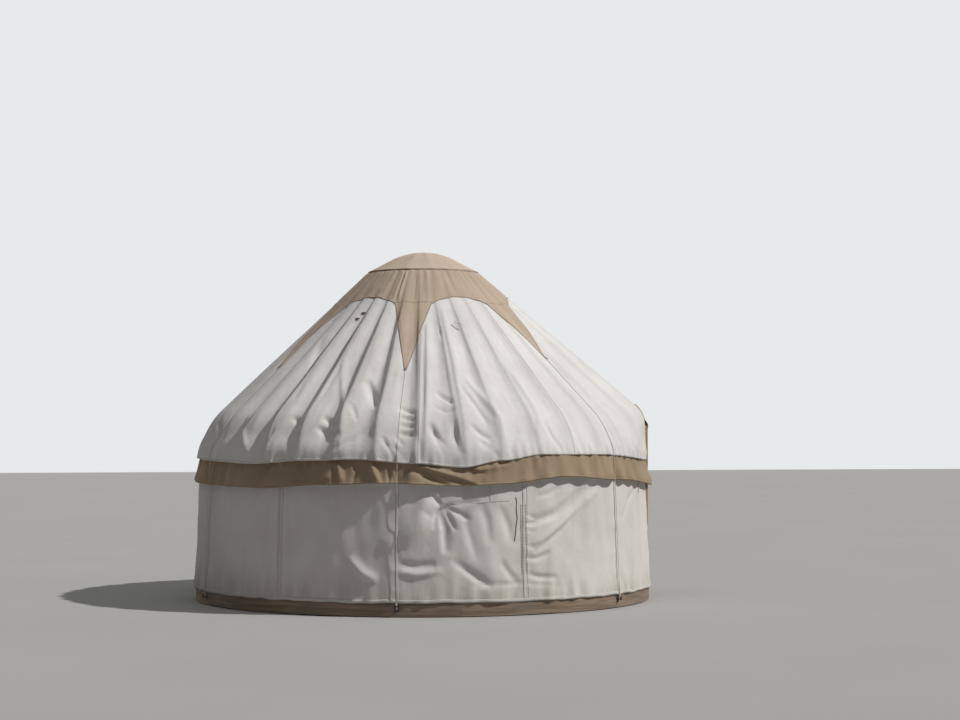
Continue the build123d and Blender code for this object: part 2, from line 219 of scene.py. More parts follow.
class Finish:
    """A material whose nodes are added by expressions."""

    def __init__(self, name, roughness, metallic=0.0):
        self.material = bpy.data.materials.new(name)
        self.material.use_nodes = True
        self.tree = self.material.node_tree
        self.shader = self.tree.nodes["Principled BSDF"]
        self.shader.inputs["Roughness"].default_value = roughness
        self.shader.inputs["Metallic"].default_value = metallic

    def node(self, kind, settings, sockets, output=0):
        """Add a node with its settings and its sockets' values or links, and give its output."""
        node = self.tree.nodes.new(kind)
        for name, value in settings.items():
            setattr(node, name, value)
        for name, value in sockets.items():
            self.feed(node.inputs[name], value)
        return Value(self, node.outputs[output])

    def feed(self, socket, value):
        if isinstance(value, Value):
            self.tree.links.new(value.socket, socket)
        elif socket.type == "RGBA":
            socket.default_value = (*value, 1)
        else:
            socket.default_value = value

    def place(self):
        return self.node("ShaderNodeTexCoord", {}, {}, "Object")

    def cloth_place(self):
        return self.node("ShaderNodeUVMap", {"uv_map": "cloth"}, {})

    def axes(self, vector):
        split = self.tree.nodes.new("ShaderNodeSeparateXYZ")
        self.feed(split.inputs[0], vector)
        return [Value(self, socket) for socket in split.outputs]

    def round_axis(self, x, y):
        """The turn about the yurt's axis, in radians, and the distance from it."""
        return y.math("ARCTAN2", x), (x * x + y * y).math("SQRT")

    def vector(self, x, y, z):
        return self.node("ShaderNodeCombineXYZ", {}, {0: x, 1: y, 2: z})

    def stretched(self, vector, scale):
        return self.node("ShaderNodeVectorMath", {"operation": "MULTIPLY"}, {0: vector, 1: scale})

    def noise(self, vector, scale, detail, roughness=0.5):
        sockets = {"Vector": vector, "Scale": scale, "Detail": detail, "Roughness": roughness}
        return self.node("ShaderNodeTexNoise", {}, sockets)

    def bands(self, vector, direction, scale):
        settings = {"wave_type": "BANDS", "bands_direction": direction}
        return self.node("ShaderNodeTexWave", settings, {"Vector": vector, "Scale": scale}, 1)

    def mixed(self, share, first, second):
        return self.node("ShaderNodeMix", {"data_type": "RGBA"}, {0: share, 6: first, 7: second}, 2)

    def paint(self, colour):
        self.feed(self.shader.inputs["Base Color"], colour)

    def rough(self, value):
        self.feed(self.shader.inputs["Roughness"], value)

    def relief(self, height, depth):
        bump = self.node("ShaderNodeBump", {}, {"Height": height, "Distance": depth, "Strength": 1.0})
        self.feed(self.shader.inputs["Normal"], bump)


def weave(finish):
    """The height of a plain weave, from the cloth's own places in metres."""
    cloth = finish.cloth_place()
    warp = finish.bands(cloth, "X", THREADS)
    weft = finish.bands(cloth, "Y", THREADS)
    return warp * 0.5 + weft * 0.5


def canvas_finish(name, light_tone, dark_tone, grime, grime_top=0.0, grime_reach=0.3):
    """Proofed cotton canvas: weave, creases and drips, and grime that fades above grime_top."""
    finish = Finish(name, 0.9)
    place = finish.place()
    height = finish.axes(place)[2]
    clouds = finish.noise(place, 1.6, 4.0, 0.6)
    drips = finish.noise(finish.stretched(place, (5.0, 5.0, 0.7)), 1.4, 5.0, 0.6)
    specks = finish.noise(place, 38.0, 3.0, 0.7)
    tone = finish.mixed(clouds.step(0.3, 0.72), light_tone, dark_tone)
    worn = finish.mixed(drips.step(0.5, 0.9) * 0.35, tone, grime)
    if grime_top:
        splash = height.step(grime_top + grime_reach, grime_top) * drips.step(0.25, 0.75)
        worn = finish.mixed(splash * 0.75, worn, grime)
    worn = finish.mixed(specks.step(0.62, 0.8) * 0.10, worn, grime)
    finish.paint(worn)
    finish.rough(clouds * 0.1 + 0.83)
    creases = finish.noise(place, 9.0, 5.0, 0.55)
    finish.relief(creases * 0.9 + weave(finish) * 0.06, 0.006)
    return finish.material


def seam_finish(name, tone, thread):
    """A sewn strip, with a row of stitches along each edge."""
    finish = Finish(name, 0.88)
    across, along, _ = finish.axes(finish.cloth_place())
    rows = (((across - 0.5).size() - 0.34).size()).below(0.05)
    stitch = rows * (along * STITCHES).fraction().below(0.68)
    clouds = finish.noise(finish.place(), 6.0, 3.0, 0.6)
    cloth = finish.mixed(clouds.step(0.3, 0.8) * 0.4, tone, thread)
    finish.paint(finish.mixed(stitch * 0.8, cloth, thread))
    finish.relief(weave(finish) * 0.1 - stitch * 0.5, 0.002)
    return finish.material


def timber_finish(name, light_tone, dark_tone, along, grain, roughness, weathered=0.0):
    """Wood whose grain runs along an axis, "round" the yurt or "down" the roof's slope."""
    finish = Finish(name, roughness)
    x, y, z = finish.axes(finish.place())
    if along == "x":
        place = finish.vector(x * GRAIN_STRETCH, y, z)
    elif along == "y":
        place = finish.vector(x, y * GRAIN_STRETCH, z)
    elif along == "z":
        place = finish.vector(x, y, z * GRAIN_STRETCH)
    elif along == "round":
        turn, reach = finish.round_axis(x, y)
        place = finish.vector(turn * (LATTICE_RADIUS * GRAIN_STRETCH), reach, z)
    else:
        turn, reach = finish.round_axis(x, y)
        place = finish.vector(turn * 4.0, (reach - z) * GRAIN_STRETCH, (reach + z) * 0.9)
    rings = finish.noise(place, grain, 5.0, 0.62)
    fibre = finish.noise(finish.stretched(place, (7.0, 7.0, 7.0)), grain, 3.0, 0.6)
    tone = finish.mixed(rings.step(0.34, 0.66), light_tone, dark_tone)
    pores = tuple(0.45 * part for part in dark_tone)
    tone = finish.mixed(fibre.step(0.55, 0.8) * 0.35, tone, pores)
    if weathered:
        stain = finish.noise(finish.place(), 3.0, 5.0, 0.65).step(0.42, 0.75)
        tone = finish.mixed(stain * weathered, tone, (0.17, 0.16, 0.145))
    finish.paint(tone)
    finish.rough(rings * 0.2 + (roughness - 0.1))
    finish.relief(fibre * 0.4 + rings * 0.5, 0.0015)
    return finish.material


def lattice_finish():
    """Ash laths in two layers that lean opposite ways, so the grain does too."""
    finish = Finish("oiled_laths", 0.6)
    x, y, z = finish.axes(finish.place())
    turn, reach = finish.round_axis(x, y)
    round_way = turn * LATTICE_RADIUS
    lean = reach.step(2.401, 2.404) * 2.0 - 1.0
    rise, run = 0.717, 0.697
    along = z * rise + round_way * lean * run
    across = z * run - round_way * lean * rise
    rings = finish.noise(finish.vector(along * GRAIN_STRETCH, across, reach), 30.0, 5.0, 0.6)
    fibre = finish.noise(finish.vector(along * 0.4, across * 6.0, reach), 30.0, 3.0, 0.6)
    tone = finish.mixed(rings.step(0.32, 0.68), (0.62, 0.42, 0.22), (0.42, 0.25, 0.11))
    finish.paint(finish.mixed(fibre.step(0.5, 0.85) * 0.4, tone, (0.2, 0.11, 0.05)))
    finish.relief(fibre * 0.5 + rings * 0.4, 0.001)
    return finish.material


def rope_finish(name, tone, groove_shade):
    """Laid cord: strands that wind round it, with painted shade in the grooves between them."""
    finish = Finish(name, 0.85)
    round_way, along, _ = finish.axes(finish.cloth_place())
    strand = ((along * 38.0 + round_way * 3.0).fraction() - 0.5).size() * 2.0
    fuzz = finish.noise(finish.place(), 300.0, 3.0, 0.6)
    # The second tone is painted shade, strongest in the grooves between the strands
    finish.paint(finish.mixed(strand.step(0.55, 1.0) * 0.8, tone, groove_shade))
    finish.relief(1 - strand * strand + fuzz * 0.3, 0.0015)
    return finish.material


def iron_finish():
    """Dull black iron with a little rust."""
    finish = Finish("black_iron", 0.5, 0.75)
    rust = finish.noise(finish.place(), 60.0, 5.0, 0.65)
    finish.paint(finish.mixed(rust.step(0.5, 0.72), (0.035, 0.033, 0.032), (0.16, 0.075, 0.035)))
    finish.rough(rust * 0.35 + 0.35)
    finish.relief(rust, 0.0006)
    return finish.material


def webbing_finish():
    """A ribbed band, darker along both edges."""
    finish = Finish("flat_webbing", 0.85)
    cloth = finish.cloth_place()
    ribs = finish.bands(cloth, "X", 60.0) * 0.5 + finish.bands(cloth, "Y", 130.0) * 0.5
    middle = 0.04
    across = finish.axes(cloth)[1]
    edge = (across - middle).size().step(0.026, 0.034)
    base = finish.mixed(ribs * 0.5, (0.47, 0.40, 0.30), (0.33, 0.27, 0.19))
    finish.paint(finish.mixed(edge * 0.6, base, (0.24, 0.17, 0.10)))
    finish.relief(ribs, 0.0008)
    return finish.material


def stage_finish():
    """A plain floor, pale under this light."""
    finish = Finish("pale_floor", 0.9)
    clouds = finish.noise(finish.place(), 0.4, 2.0)
    finish.paint(finish.mixed(clouds, (0.36, 0.355, 0.34), (0.40, 0.395, 0.38)))
    return finish.material


# Meshes


def deselect():
    for thing in bpy.context.selected_objects:
        thing.select_set(False)


def take(thing):
    """Select one piece and nothing else."""
    deselect()
    thing.select_set(True)
    bpy.context.view_layer.objects.active = thing


def settle(thing):
    """Put a piece's place into its mesh, so that the object stands at the origin."""
    take(thing)
    bpy.ops.object.transform_apply(location=True, rotation=True, scale=True)


def apply_modifier(thing, kind, name, **settings):
    """Give a piece a modifier and apply it at once."""
    take(thing)
    modifier = thing.modifiers.new(name, kind)
    for key, value in settings.items():
        setattr(modifier, key, value)
    bpy.ops.object.modifier_apply(modifier=name)


def smooth(thing, angle):
    take(thing)
    bpy.ops.object.shade_smooth_by_angle(angle=radians(angle))


def joined(things, name):
    """Join pieces into one, under a new name."""
    deselect()
    for thing in things:
        thing.select_set(True)
    bpy.context.view_layer.objects.active = things[0]
    bpy.ops.object.join()
    whole = bpy.context.view_layer.objects.active
    whole.name = name
    whole.data.name = name
    return whole


def stacked(*parts):
    """Arrays that go together, as one array of places."""
    return np.stack(np.broadcast_arrays(*parts), axis=-1)


def run_along(points):
    """How far along its line each point is, where lines run down the first axis."""
    steps = np.linalg.norm(np.diff(points, axis=0), axis=-1)
    runs = np.cumsum(steps, axis=0)
    return np.concatenate([np.zeros_like(runs[:1]), runs])


def shape(primitive, **settings):
    """A new object from one of Blender's ready shapes."""
    deselect()
    primitive(**settings)
    return bpy.context.object


def hoop(middle, radius, wire, segments, sides, turns):
    """A round hoop of wire, turned into its place."""
    ring = shape(
        bpy.ops.mesh.primitive_torus_add, major_radius=radius, minor_radius=wire,
        major_segments=segments, minor_segments=sides, location=middle,
    )
    ring.rotation_euler = turns
    settle(ring)
    return ring


def mesh_from(name, points, faces, cloth):
    """A mesh object from arrays of points, quads and one cloth place per point."""
    mesh = bpy.data.meshes.new(name)
    mesh.from_pydata(points.reshape(-1, 3).tolist(), [], faces.reshape(-1, 4).tolist())
    layer = mesh.uv_layers.new(name="cloth")
    corners = np.empty(len(mesh.loops), dtype=np.int32)
    mesh.loops.foreach_get("vertex_index", corners)
    layer.data.foreach_set("uv", cloth.reshape(-1, 2)[corners].ravel())
    thing = bpy.data.objects.new(name, mesh)
    bpy.context.scene.collection.objects.link(thing)
    mesh.polygons.foreach_set("use_smooth", [True] * len(mesh.polygons))
    return thing


def grid(name, points, cloth, flip=False):
    """A sheet from rows by columns of points."""
    rows, columns = points.shape[:2]
    numbers = np.arange(rows * columns).reshape(rows, columns)
    a, b = numbers[:-1, :-1], numbers[:-1, 1:]
    c, d = numbers[1:, 1:], numbers[1:, :-1]
    faces = np.stack([a, b, c, d] if flip else [a, d, c, b], axis=-1)
    return mesh_from(name, points, faces, cloth)


def thicken(thing, thickness):
    """Give a sheet its thickness, inwards from its outer face."""
    apply_modifier(thing, "SOLIDIFY", "thickness", thickness=thickness, offset=-1)


def cut_block(thing, low, high):
    """Cut a box-shaped hole with clean edges out of a sheet."""
    mesh = bmesh.new()
    mesh.from_mesh(thing.data)

    def faces_in(margin):
        found = []
        for face in mesh.faces:
            middle = face.calc_center_median()
            if all(low[k] - margin < middle[k] < high[k] + margin for k in range(3)):
                found.append(face)
        return found

    for axis in range(3):
        normal = [0, 0, 0]
        normal[axis] = 1
        for place in (low[axis], high[axis]):
            near = faces_in(0.1)
            edges = {edge for face in near for edge in face.edges}
            corners = {corner for face in near for corner in face.verts}
            geometry = [*corners, *edges, *near]
            point = [place * share for share in normal]
            bmesh.ops.bisect_plane(mesh, geom=geometry, plane_co=point, plane_no=normal)
    bmesh.ops.delete(mesh, geom=faces_in(0), context="FACES")
    mesh.to_mesh(thing.data)
    mesh.free()


def cut_doorway(thing, low, high):
    """Cut a cover away over the door frame, between two heights."""
    half = FRAME_HALF_WIDTH + 0.0003
    cut_block(thing, (-half, -2.7, low), (half, -2.2, high))


def tube(name, line, radius, sides):
    """A round cord along a line of points, with its ends closed."""
    line = np.asarray(line, dtype=float)
    ways = np.gradient(line, axis=0)
    ways /= np.linalg.norm(ways, axis=1)[:, None]
    side = np.cross(ways[0], (0.31, 0.17, 0.93))
    side /= np.linalg.norm(side)
    rings, cloth = [], []
    for place, way, far in zip(line, ways, run_along(line)):
        side = side - way * side.dot(way)
        side /= np.linalg.norm(side)
        other = np.cross(way, side)
        ring = []
        for number in range(sides + 1):
            turn = 2 * pi * number / sides
            ring.append(place + radius * (cos(turn) * side + sin(turn) * other))
        rings.append(ring)
        cloth.append([(number / sides, far) for number in range(sides + 1)])
    thing = grid(name, np.array(rings), np.array(cloth))
    mesh = bmesh.new()
    mesh.from_mesh(thing.data)
    bmesh.ops.remove_doubles(mesh, verts=mesh.verts, dist=1e-6)
    bmesh.ops.holes_fill(mesh, edges=[edge for edge in mesh.edges if edge.is_boundary], sides=0)
    bmesh.ops.recalc_face_normals(mesh, faces=mesh.faces)
    mesh.to_mesh(thing.data)
    mesh.free()
    return thing


# The covers' run, as in the source


def smoothstep(low, high, value):
    share = np.clip((value - low) / (high - low), 0, 1)
    return share * share * (3 - 2 * share)


def degrees_from(first, bearing, pitch=360):
    """Degrees from a bearing, or from the nearest of several that are a pitch apart."""
    return (bearing - first + pitch / 2) % pitch - pitch / 2


def raised_share(bearing):
    """How much of the rise over the doorway a bearing has, from 1 to 0."""
    away = np.abs(degrees_from(0, bearing))
    return (1 + np.cos(np.pi * np.clip((away - RAISED_HALF) / RAISED_FALL, 0, 1))) / 2


def roof_run(bearing):
    """Slope, turn, knee radius, knee centre and length of slope at each bearing."""
    raised = raised_share(bearing)
    slope = np.radians(ROOF_SLOPE + raised * (RAISED_SLOPE - ROOF_SLOPE))
    knee = ROOF_KNEE + raised * (RAISED_KNEE - ROOF_KNEE)
    turn = np.pi / 2 - slope
    corner = CROWN_RADIUS / FLAT_TO_CORNER
    eave_height = CROWN_TOP + 0.0003 / np.cos(slope) - (EAVE_RADIUS - corner) * np.tan(slope)
    centre_reach = EAVE_RADIUS - knee
    centre_height = eave_height - knee * np.tan(turn / 2)
    length = (centre_reach + knee * np.cos(turn) - CROWN_RADIUS) / np.cos(slope)
    return slope, turn, knee, centre_reach, centre_height, length


def roof_base(bearing, down):
    """Radius, height and lean of the normal at a way down the roof."""
    slope, turn, knee, centre_reach, centre_height, length = roof_run(bearing)
    past = down - length
    lean = np.clip(turn - past / knee, 0, turn)
    drop = np.maximum(past - knee * turn, 0)
    reach = centre_reach + knee * np.cos(lean)
    height = centre_height + knee * np.sin(lean) - drop
    short = np.minimum(past, 0)
    return reach + short * np.cos(slope), height - short * np.sin(slope), lean


def slope_at(bearing):
    """The roof's slope at one bearing, in radians."""
    return float(roof_run(float(bearing))[0])


def roof_down(bearing, height):
    """How far down the roof a height is."""
    slope, turn, knee, centre_reach, centre_height, length = roof_run(bearing)
    knee_top = centre_height + knee * np.sin(turn)
    on_slope = length - (height - knee_top) / np.sin(slope)
    lean = np.arcsin(np.clip((height - centre_height) / knee, -1, 1))
    on_knee = length + knee * (turn - lean)
    on_drop = length + knee * turn + centre_height - height
    below_slope = np.where(height > centre_height, on_knee, on_drop)
    return np.where(height > knee_top, on_slope, below_slope)


def around(table, bearing):
    """A smooth closed curve through (bearing, value) pairs."""
    places = np.array(sorted((angle % 360, value) for angle, value in table))
    angles = np.concatenate([places[-2:, 0] - 360, places[:, 0], places[:2, 0] + 360])
    values = np.concatenate([places[-2:, 1], places[:, 1], places[:2, 1]])
    where = np.asarray(bearing, dtype=float) % 360
    index = np.clip(np.searchsorted(angles, where, side="right") - 1, 0, len(angles) - 2)
    share = (where - angles[index]) / (angles[index + 1] - angles[index])
    share = share * share * (3 - 2 * share)
    return values[index] * (1 - share) + values[index + 1] * share


def waves(seed, bearing, down, low, high, stretch):
    """Smooth seeded unevenness between -1 and 1, closed round the yurt."""
    count = 28
    rng = np.random.default_rng(seed)
    total = np.zeros(np.broadcast(bearing, down).shape)
    for _ in range(count):
        turns = rng.integers(low, high)
        pitch = rng.normal(0, stretch)
        total += np.sin(np.radians(bearing) * turns + down * pitch + rng.uniform(0, 2 * pi))
    return total / sqrt(count / 2) / 2


# Heights of the hems by bearing. The camera stands at bearing -99.
ROOF_HEM = [
    (8, 1.545), (31, 1.515), (52, 1.56), (77, 1.505), (98, 1.55), (121, 1.5), (141, 1.545),
    (144, 1.491), (160, 1.505), (176, 1.527), (-164, 1.51), (-144, 1.491), (-128, 1.528),
    (-115, 1.542), (-101, 1.504), (-90, 1.465), (-80, 1.532), (-70, 1.588), (-53, 1.582),
    (-19, 1.509),
]
VALANCE_HEM = [
    (15, 1.27), (42, 1.32), (66, 1.262), (88, 1.305), (112, 1.255), (136, 1.31), (156, 1.27),
    (176, 1.285), (-160, 1.262), (-140, 1.249), (-121, 1.296), (-107, 1.315), (-90, 1.287),
    (-80, 1.304), (-64, 1.368), (-45, 1.319), (-14, 1.232),
]


class Fold:
    """A crease along (bearing, height) places, with a height and a width on its left and right."""

    def __init__(self, line, height, left, right):
        self.line = line
        self.height = height
        self.left = left
        self.right = right

    def relief(self, bearing, down, reach, way_down):
        """Its height at each place of a cover, where way_down gives the way down to a height."""
        total = np.zeros(np.broadcast(bearing, down).shape)
        count = len(self.line) - 1
        degree = radians(1) * reach
        for number, (start, end) in enumerate(zip(self.line, self.line[1:])):
            first = way_down(*start)
            last = way_down(*end)
            across = degrees_from(start[0], bearing) * degree
            run_across = degrees_from(start[0], end[0]) * degree
            below = down - first
            run_below = last - first
            length_squared = run_across * run_across + run_below * run_below
            share = (across * run_across + below * run_below) / length_squared
            inside = np.clip(share, 0, 1)
            away_across = across - inside * run_across
            away_below = below - inside * run_below
            gap = np.hypot(away_across, away_below)
            side = away_across * run_below - away_below * run_across
            width = np.where(side * np.sign(run_below) > 0, self.right, self.left)
            place = (number + inside) / count
            taper = np.clip(4 * place * (1 - place), 0, 1) ** 0.6
            total = np.maximum(total, np.exp(-((gap / width) ** 2)) * taper)
        return total * self.height


def folds_relief(folds, bearing, down, reach, way_down):
    """The sum of the folds, each worked out only on the columns within its reach."""
    total = np.zeros(np.broadcast(bearing, down).shape)
    for fold in folds:
        first = fold.line[0][0]
        spread = max(abs(degrees_from(first, place[0])) for place in fold.line) + 12
        columns = np.abs(degrees_from(first, bearing[0])) < spread
        if columns.any():
            part = fold.relief(bearing[:, columns], down[:, columns], reach[:, columns], way_down)
            total[:, columns] += part
    return total


# How much deeper the roof and the wall are creased than their folds' heights say
ROOF_FOLD_DEPTH = 1.35
WALL_FOLD_DEPTH = 1.5

# Each fold's line, its height, and its widths on the left and on the right
ROOF_FOLDS = [
    Fold([(-116.5, 2.354), (-113.5, 2.209), (-111.0, 2.099)], -0.03, 0.05, 0.03),
    Fold([(-130.5, 2.649), (-120.5, 2.051), (-118.5, 1.569)], 0.012, 0.02, 0.05),
    Fold([(-126.0, 1.986), (-123.0, 1.938), (-120.0, 1.88)], -0.022, 0.03, 0.03),
    Fold([(-126.5, 1.88), (-123.0, 1.809), (-119.0, 1.791)], -0.026, 0.03, 0.03),
    Fold([(-135.5, 1.993), (-131.5, 1.914), (-129.5, 1.938)], -0.024, 0.03, 0.03),
    Fold([(-131.5, 1.818), (-131.5, 1.677), (-131.5, 1.549)], -0.03, 0.06, 0.05),
    Fold([(-142.5, 2.058), (-140.0, 1.818), (-141.5, 1.539)], -0.034, 0.05, 0.03),
    Fold([(-148.5, 2.8), (-141.5, 2.457), (-139.0, 2.141)], -0.018, 0.03, 0.05),
    Fold([(-132.5, 2.89), (-130.5, 2.464), (-130.0, 2.12)], -0.02, 0.04, 0.05),
    Fold([(-109.0, 1.772), (-107.0, 1.658), (-106.0, 1.569)], -0.014, 0.018, 0.018),
    Fold([(-106.5, 1.697), (-104.5, 1.619), (-102.5, 1.51)], -0.016, 0.02, 0.02),
    Fold([(-105.5, 1.791), (-103.5, 1.658), (-101.0, 1.51)], -0.014, 0.02, 0.02),
    Fold([(-105.5, 2.072), (-102.5, 2.044), (-100.0, 2.008)], -0.02, 0.022, 0.022),
    Fold([(-105.0, 1.978), (-102.5, 1.97), (-99.5, 1.946)], -0.02, 0.022, 0.022),
    Fold([(-105.0, 1.897), (-102.5, 1.897), (-100.0, 1.897)], -0.02, 0.022, 0.022),
    Fold([(-105.0, 1.809), (-102.5, 1.8), (-100.0, 1.818)], -0.018, 0.024, 0.024),
    Fold([(-99.5, 3.006), (-99.5, 2.347), (-99.5, 1.539)], -0.022, 0.035, 0.015),
    Fold([(-97.5, 2.965), (-98.0, 2.292), (-99.0, 1.559)], 0.014, 0.012, 0.06),
    Fold([(-91.5, 2.917), (-91.0, 2.814), (-90.0, 2.69)], -0.024, 0.012, 0.012),
    Fold([(-89.0, 3.158), (-88.5, 2.553), (-89.0, 2.106), (-89.0, 1.53)], 0.014, 0.02, 0.05),
    Fold([(-95.5, 2.23), (-92.5, 2.161), (-90.0, 2.106)], -0.02, 0.02, 0.02),
    Fold([(-96.0, 2.079), (-93.0, 2.037), (-90.0, 2.058)], -0.016, 0.02, 0.02),
    Fold([(-97.5, 1.905), (-95.5, 1.744), (-92.5, 1.559)], -0.034, 0.03, 0.03),
    Fold([(-91.0, 1.954), (-91.0, 1.781), (-90.0, 1.579)], -0.02, 0.05, 0.02),
    Fold([(-86.0, 2.388), (-82.5, 2.196), (-79.5, 1.946), (-80.0, 1.569)], 0.013, 0.02, 0.05),
    Fold([(-88.0, 2.299), (-85.0, 2.12), (-82.5, 1.897)], -0.014, 0.03, 0.02),
    Fold([(-87.5, 1.897), (-85.0, 1.809), (-82.5, 1.744)], -0.016, 0.025, 0.02),
    Fold([(-85.5, 1.735), (-83.5, 1.658), (-81.0, 1.569)], -0.014, 0.02, 0.02),
    Fold([(-70.0, 2.525), (-68.5, 2.257), (-68.5, 2.008), (-71.0, 1.589)], 0.01, 0.02, 0.06),
    Fold([(-67.0, 1.93), (-66.0, 1.781), (-64.0, 1.609)], -0.012, 0.02, 0.02),
    Fold([(-75.0, 1.836), (-77.5, 1.697), (-78.5, 1.589)], -0.01, 0.025, 0.025),
    Fold([(-163.5, 2.023), (-161.0, 1.897), (-158.5, 1.735)], -0.024, 0.03, 0.02),
    Fold([(-171.5, 1.986), (-166.0, 1.853), (-164.5, 1.725)], -0.018, 0.02, 0.02),
    Fold([(-153.0, 2.106), (-153.5, 2.001), (-150.5, 1.818), (-144.5, 1.549)], 0.016, 0.03, 0.03),
    Fold([(-149.5, 2.203), (-150.0, 2.12), (-150.0, 2.023)], -0.014, 0.02, 0.02),
    Fold([(-118.5, 2.093), (-117.0, 2.016), (-116.0, 1.946)], -0.012, 0.02, 0.02),
    Fold([(-118.0, 1.744), (-114.5, 1.862), (-111.0, 1.986)], 0.008, 0.02, 0.04),
    Fold([(-121.5, 1.619), (-118.5, 1.677), (-115.5, 1.763)], -0.01, 0.03, 0.02),
]
WALL_FOLDS = [
    Fold([(-52.5, 1.29), (-59.5, 1.14), (-66.0, 0.99), (-74.5, 0.89)], -0.028, 0.05, 0.03),
    Fold([(-52.5, 1.24), (-64.5, 0.9), (-72.5, 0.68)], 0.023, 0.03, 0.05),
    Fold([(-56.5, 1.13), (-65.0, 0.83), (-72.5, 0.61)], -0.020, 0.04, 0.03),
    Fold([(-75.0, 0.56), (-71.5, 0.56), (-68.0, 0.62)], -0.02, 0.02, 0.02),
    Fold([(-74.5, 0.41), (-71.0, 0.37), (-66.0, 0.36)], -0.018, 0.025, 0.025),
    Fold([(-74.5, 0.99), (-73.0, 0.98), (-71.5, 0.96)], -0.012, 0.012, 0.012),
    Fold([(-74.5, 0.9), (-73.0, 0.9), (-71.0, 0.91)], -0.012, 0.012, 0.012),
    Fold([(-74.5, 0.84), (-73.0, 0.83), (-71.5, 0.83)], -0.01, 0.012, 0.012),
    Fold([(-74.5, 0.68), (-73.0, 0.68), (-71.0, 0.7)], -0.012, 0.012, 0.012),
    Fold([(-85.5, 1.11), (-84.0, 0.93), (-83.5, 0.7)], -0.014, 0.06, 0.04),
    Fold([(-81.0, 1.09), (-79.0, 0.9), (-78.0, 0.7)], -0.012, 0.05, 0.04),
    Fold([(-94.5, 1.08), (-92.5, 1.05), (-88.0, 0.95)], -0.016, 0.02, 0.03),
    Fold([(-94.5, 1.08), (-93.0, 0.99), (-91.5, 0.85)], -0.018, 0.02, 0.02),
    Fold([(-94.5, 1.08), (-91.5, 1.11), (-86.0, 1.13)], -0.012, 0.015, 0.015),
    Fold([(-94.5, 1.08), (-96.0, 1.01), (-96.5, 0.87)], -0.016, 0.02, 0.02),
    Fold([(-94.5, 1.08), (-96.0, 1.15), (-97.0, 1.21)], -0.014, 0.02, 0.02),
    Fold([(-97.5, 1.16), (-101.0, 0.96), (-108.0, 0.68)], 0.026, 0.07, 0.10),
    Fold([(-98.0, 1.0), (-100.0, 0.86), (-104.0, 0.70)], 0.022, 0.07, 0.07),
    Fold([(-95.5, 1.07), (-94.0, 0.86), (-94.0, 0.62)], -0.026, 0.03, 0.05),
    Fold([(-106.0, 0.53), (-101.0, 0.50), (-96.0, 0.52)], -0.018, 0.04, 0.04),
    Fold([(-116.5, 0.58), (-113.0, 0.43), (-109.5, 0.35)], 0.024, 0.035, 0.05),
    Fold([(-106.5, 0.45), (-100.0, 0.42), (-94.5, 0.46)], 0.016, 0.03, 0.03),
    Fold([(-92.5, 0.56), (-86.5, 0.37), (-83.0, 0.29)], -0.018, 0.03, 0.05),
    Fold([(-90.0, 1.09), (-88.5, 0.83), (-86.5, 0.55)], -0.008, 0.04, 0.04),
    Fold([(-81.0, 0.55), (-78.5, 0.4), (-76.0, 0.31)], -0.012, 0.04, 0.03),
    Fold([(-64.5, 1.26), (-68.0, 1.2), (-71.5, 1.17)], -0.01, 0.02, 0.02),
    Fold([(-88.0, 0.3), (-76.0, 0.32), (-65.5, 0.28)], -0.01, 0.02, 0.02),
    Fold([(-33.0, 1.22), (-37.5, 1.1), (-41.5, 0.9)], -0.01, 0.03, 0.03),
]
VALANCE_FOLDS = [
    Fold([(-104.5, 1.53), (-101.0, 1.45), (-97.0, 1.36), (-93.0, 1.28)], -0.045, 0.03, 0.03),
    Fold([(-102.0, 1.53), (-97.0, 1.45), (-90.0, 1.36), (-86.0, 1.30)], 0.036, 0.02, 0.05),
    Fold([(-99.0, 1.49), (-92.0, 1.43), (-84.0, 1.41)], -0.020, 0.02, 0.02),
    Fold([(-95.0, 1.47), (-86.0, 1.45), (-78.0, 1.49)], 0.018, 0.02, 0.03),
    Fold([(-119.5, 1.55), (-118.5, 1.42), (-117.5, 1.27)], 0.045, 0.04, 0.03),
    Fold([(-115.5, 1.52), (-114.5, 1.42), (-115.5, 1.29)], -0.025, 0.02, 0.025),
    Fold([(-111.5, 1.56), (-110.0, 1.42), (-108.5, 1.29)], 0.042, 0.05, 0.018),
    Fold([(-107.2, 1.54), (-106.8, 1.42), (-107.0, 1.29)], -0.03, 0.018, 0.02),
]


def more_folds(seed, first, last):
    """Seeded creases of the same kinds, bay by bay, for the sides the photograph doesn't show."""
    rng = np.random.default_rng(seed)
    folds = []
    for bay in range(first, last, POLE_PITCH):
        kind = rng.integers(0, 4)
        if kind == 0:
            for level in np.linspace(1.82, 2.08, rng.integers(2, 5)):
                low = level - rng.uniform(0, 0.06)
                line = [(bay + 3, level), (bay + 6, level - 0.015), (bay + 8.5, low)]
                folds.append(Fold(line, -rng.uniform(0.012, 0.02), 0.022, 0.022))
        elif kind == 1:
            top = rng.uniform(2.1, 2.4)
            line = [(bay + 2, top), (bay + 5, (top + 1.6) / 2), (bay + 8.5, 1.6)]
            folds.append(Fold(line, -rng.uniform(0.015, 0.028), 0.04, 0.03))
        elif kind == 2:
            for drop in (0, 0.1):
                line = [(bay + 1.5, 2.0 - drop), (bay + 5, 1.92 - drop), (bay + 8.5, 1.93 - drop)]
                folds.append(Fold(line, -rng.uniform(0.014, 0.024), 0.03, 0.03))
        start = rng.uniform(2.5, 2.9)
        drift = rng.uniform(-2, 2)
        line = [(bay + 5 + drift, start), (bay + 5, start - 0.4), (bay + 5 - drift, 2.1)]
        folds.append(Fold(line, rng.uniform(-0.016, -0.006), 0.04, 0.04))
        for _ in range(3):
            foot = bay + rng.uniform(1, 9)
            line = [(foot, 1.54), (foot + rng.uniform(-1.5, 1.5), rng.uniform(1.62, 1.75))]
            folds.append(Fold(line, rng.uniform(0.006, 0.014), 0.018, 0.022))
    return folds


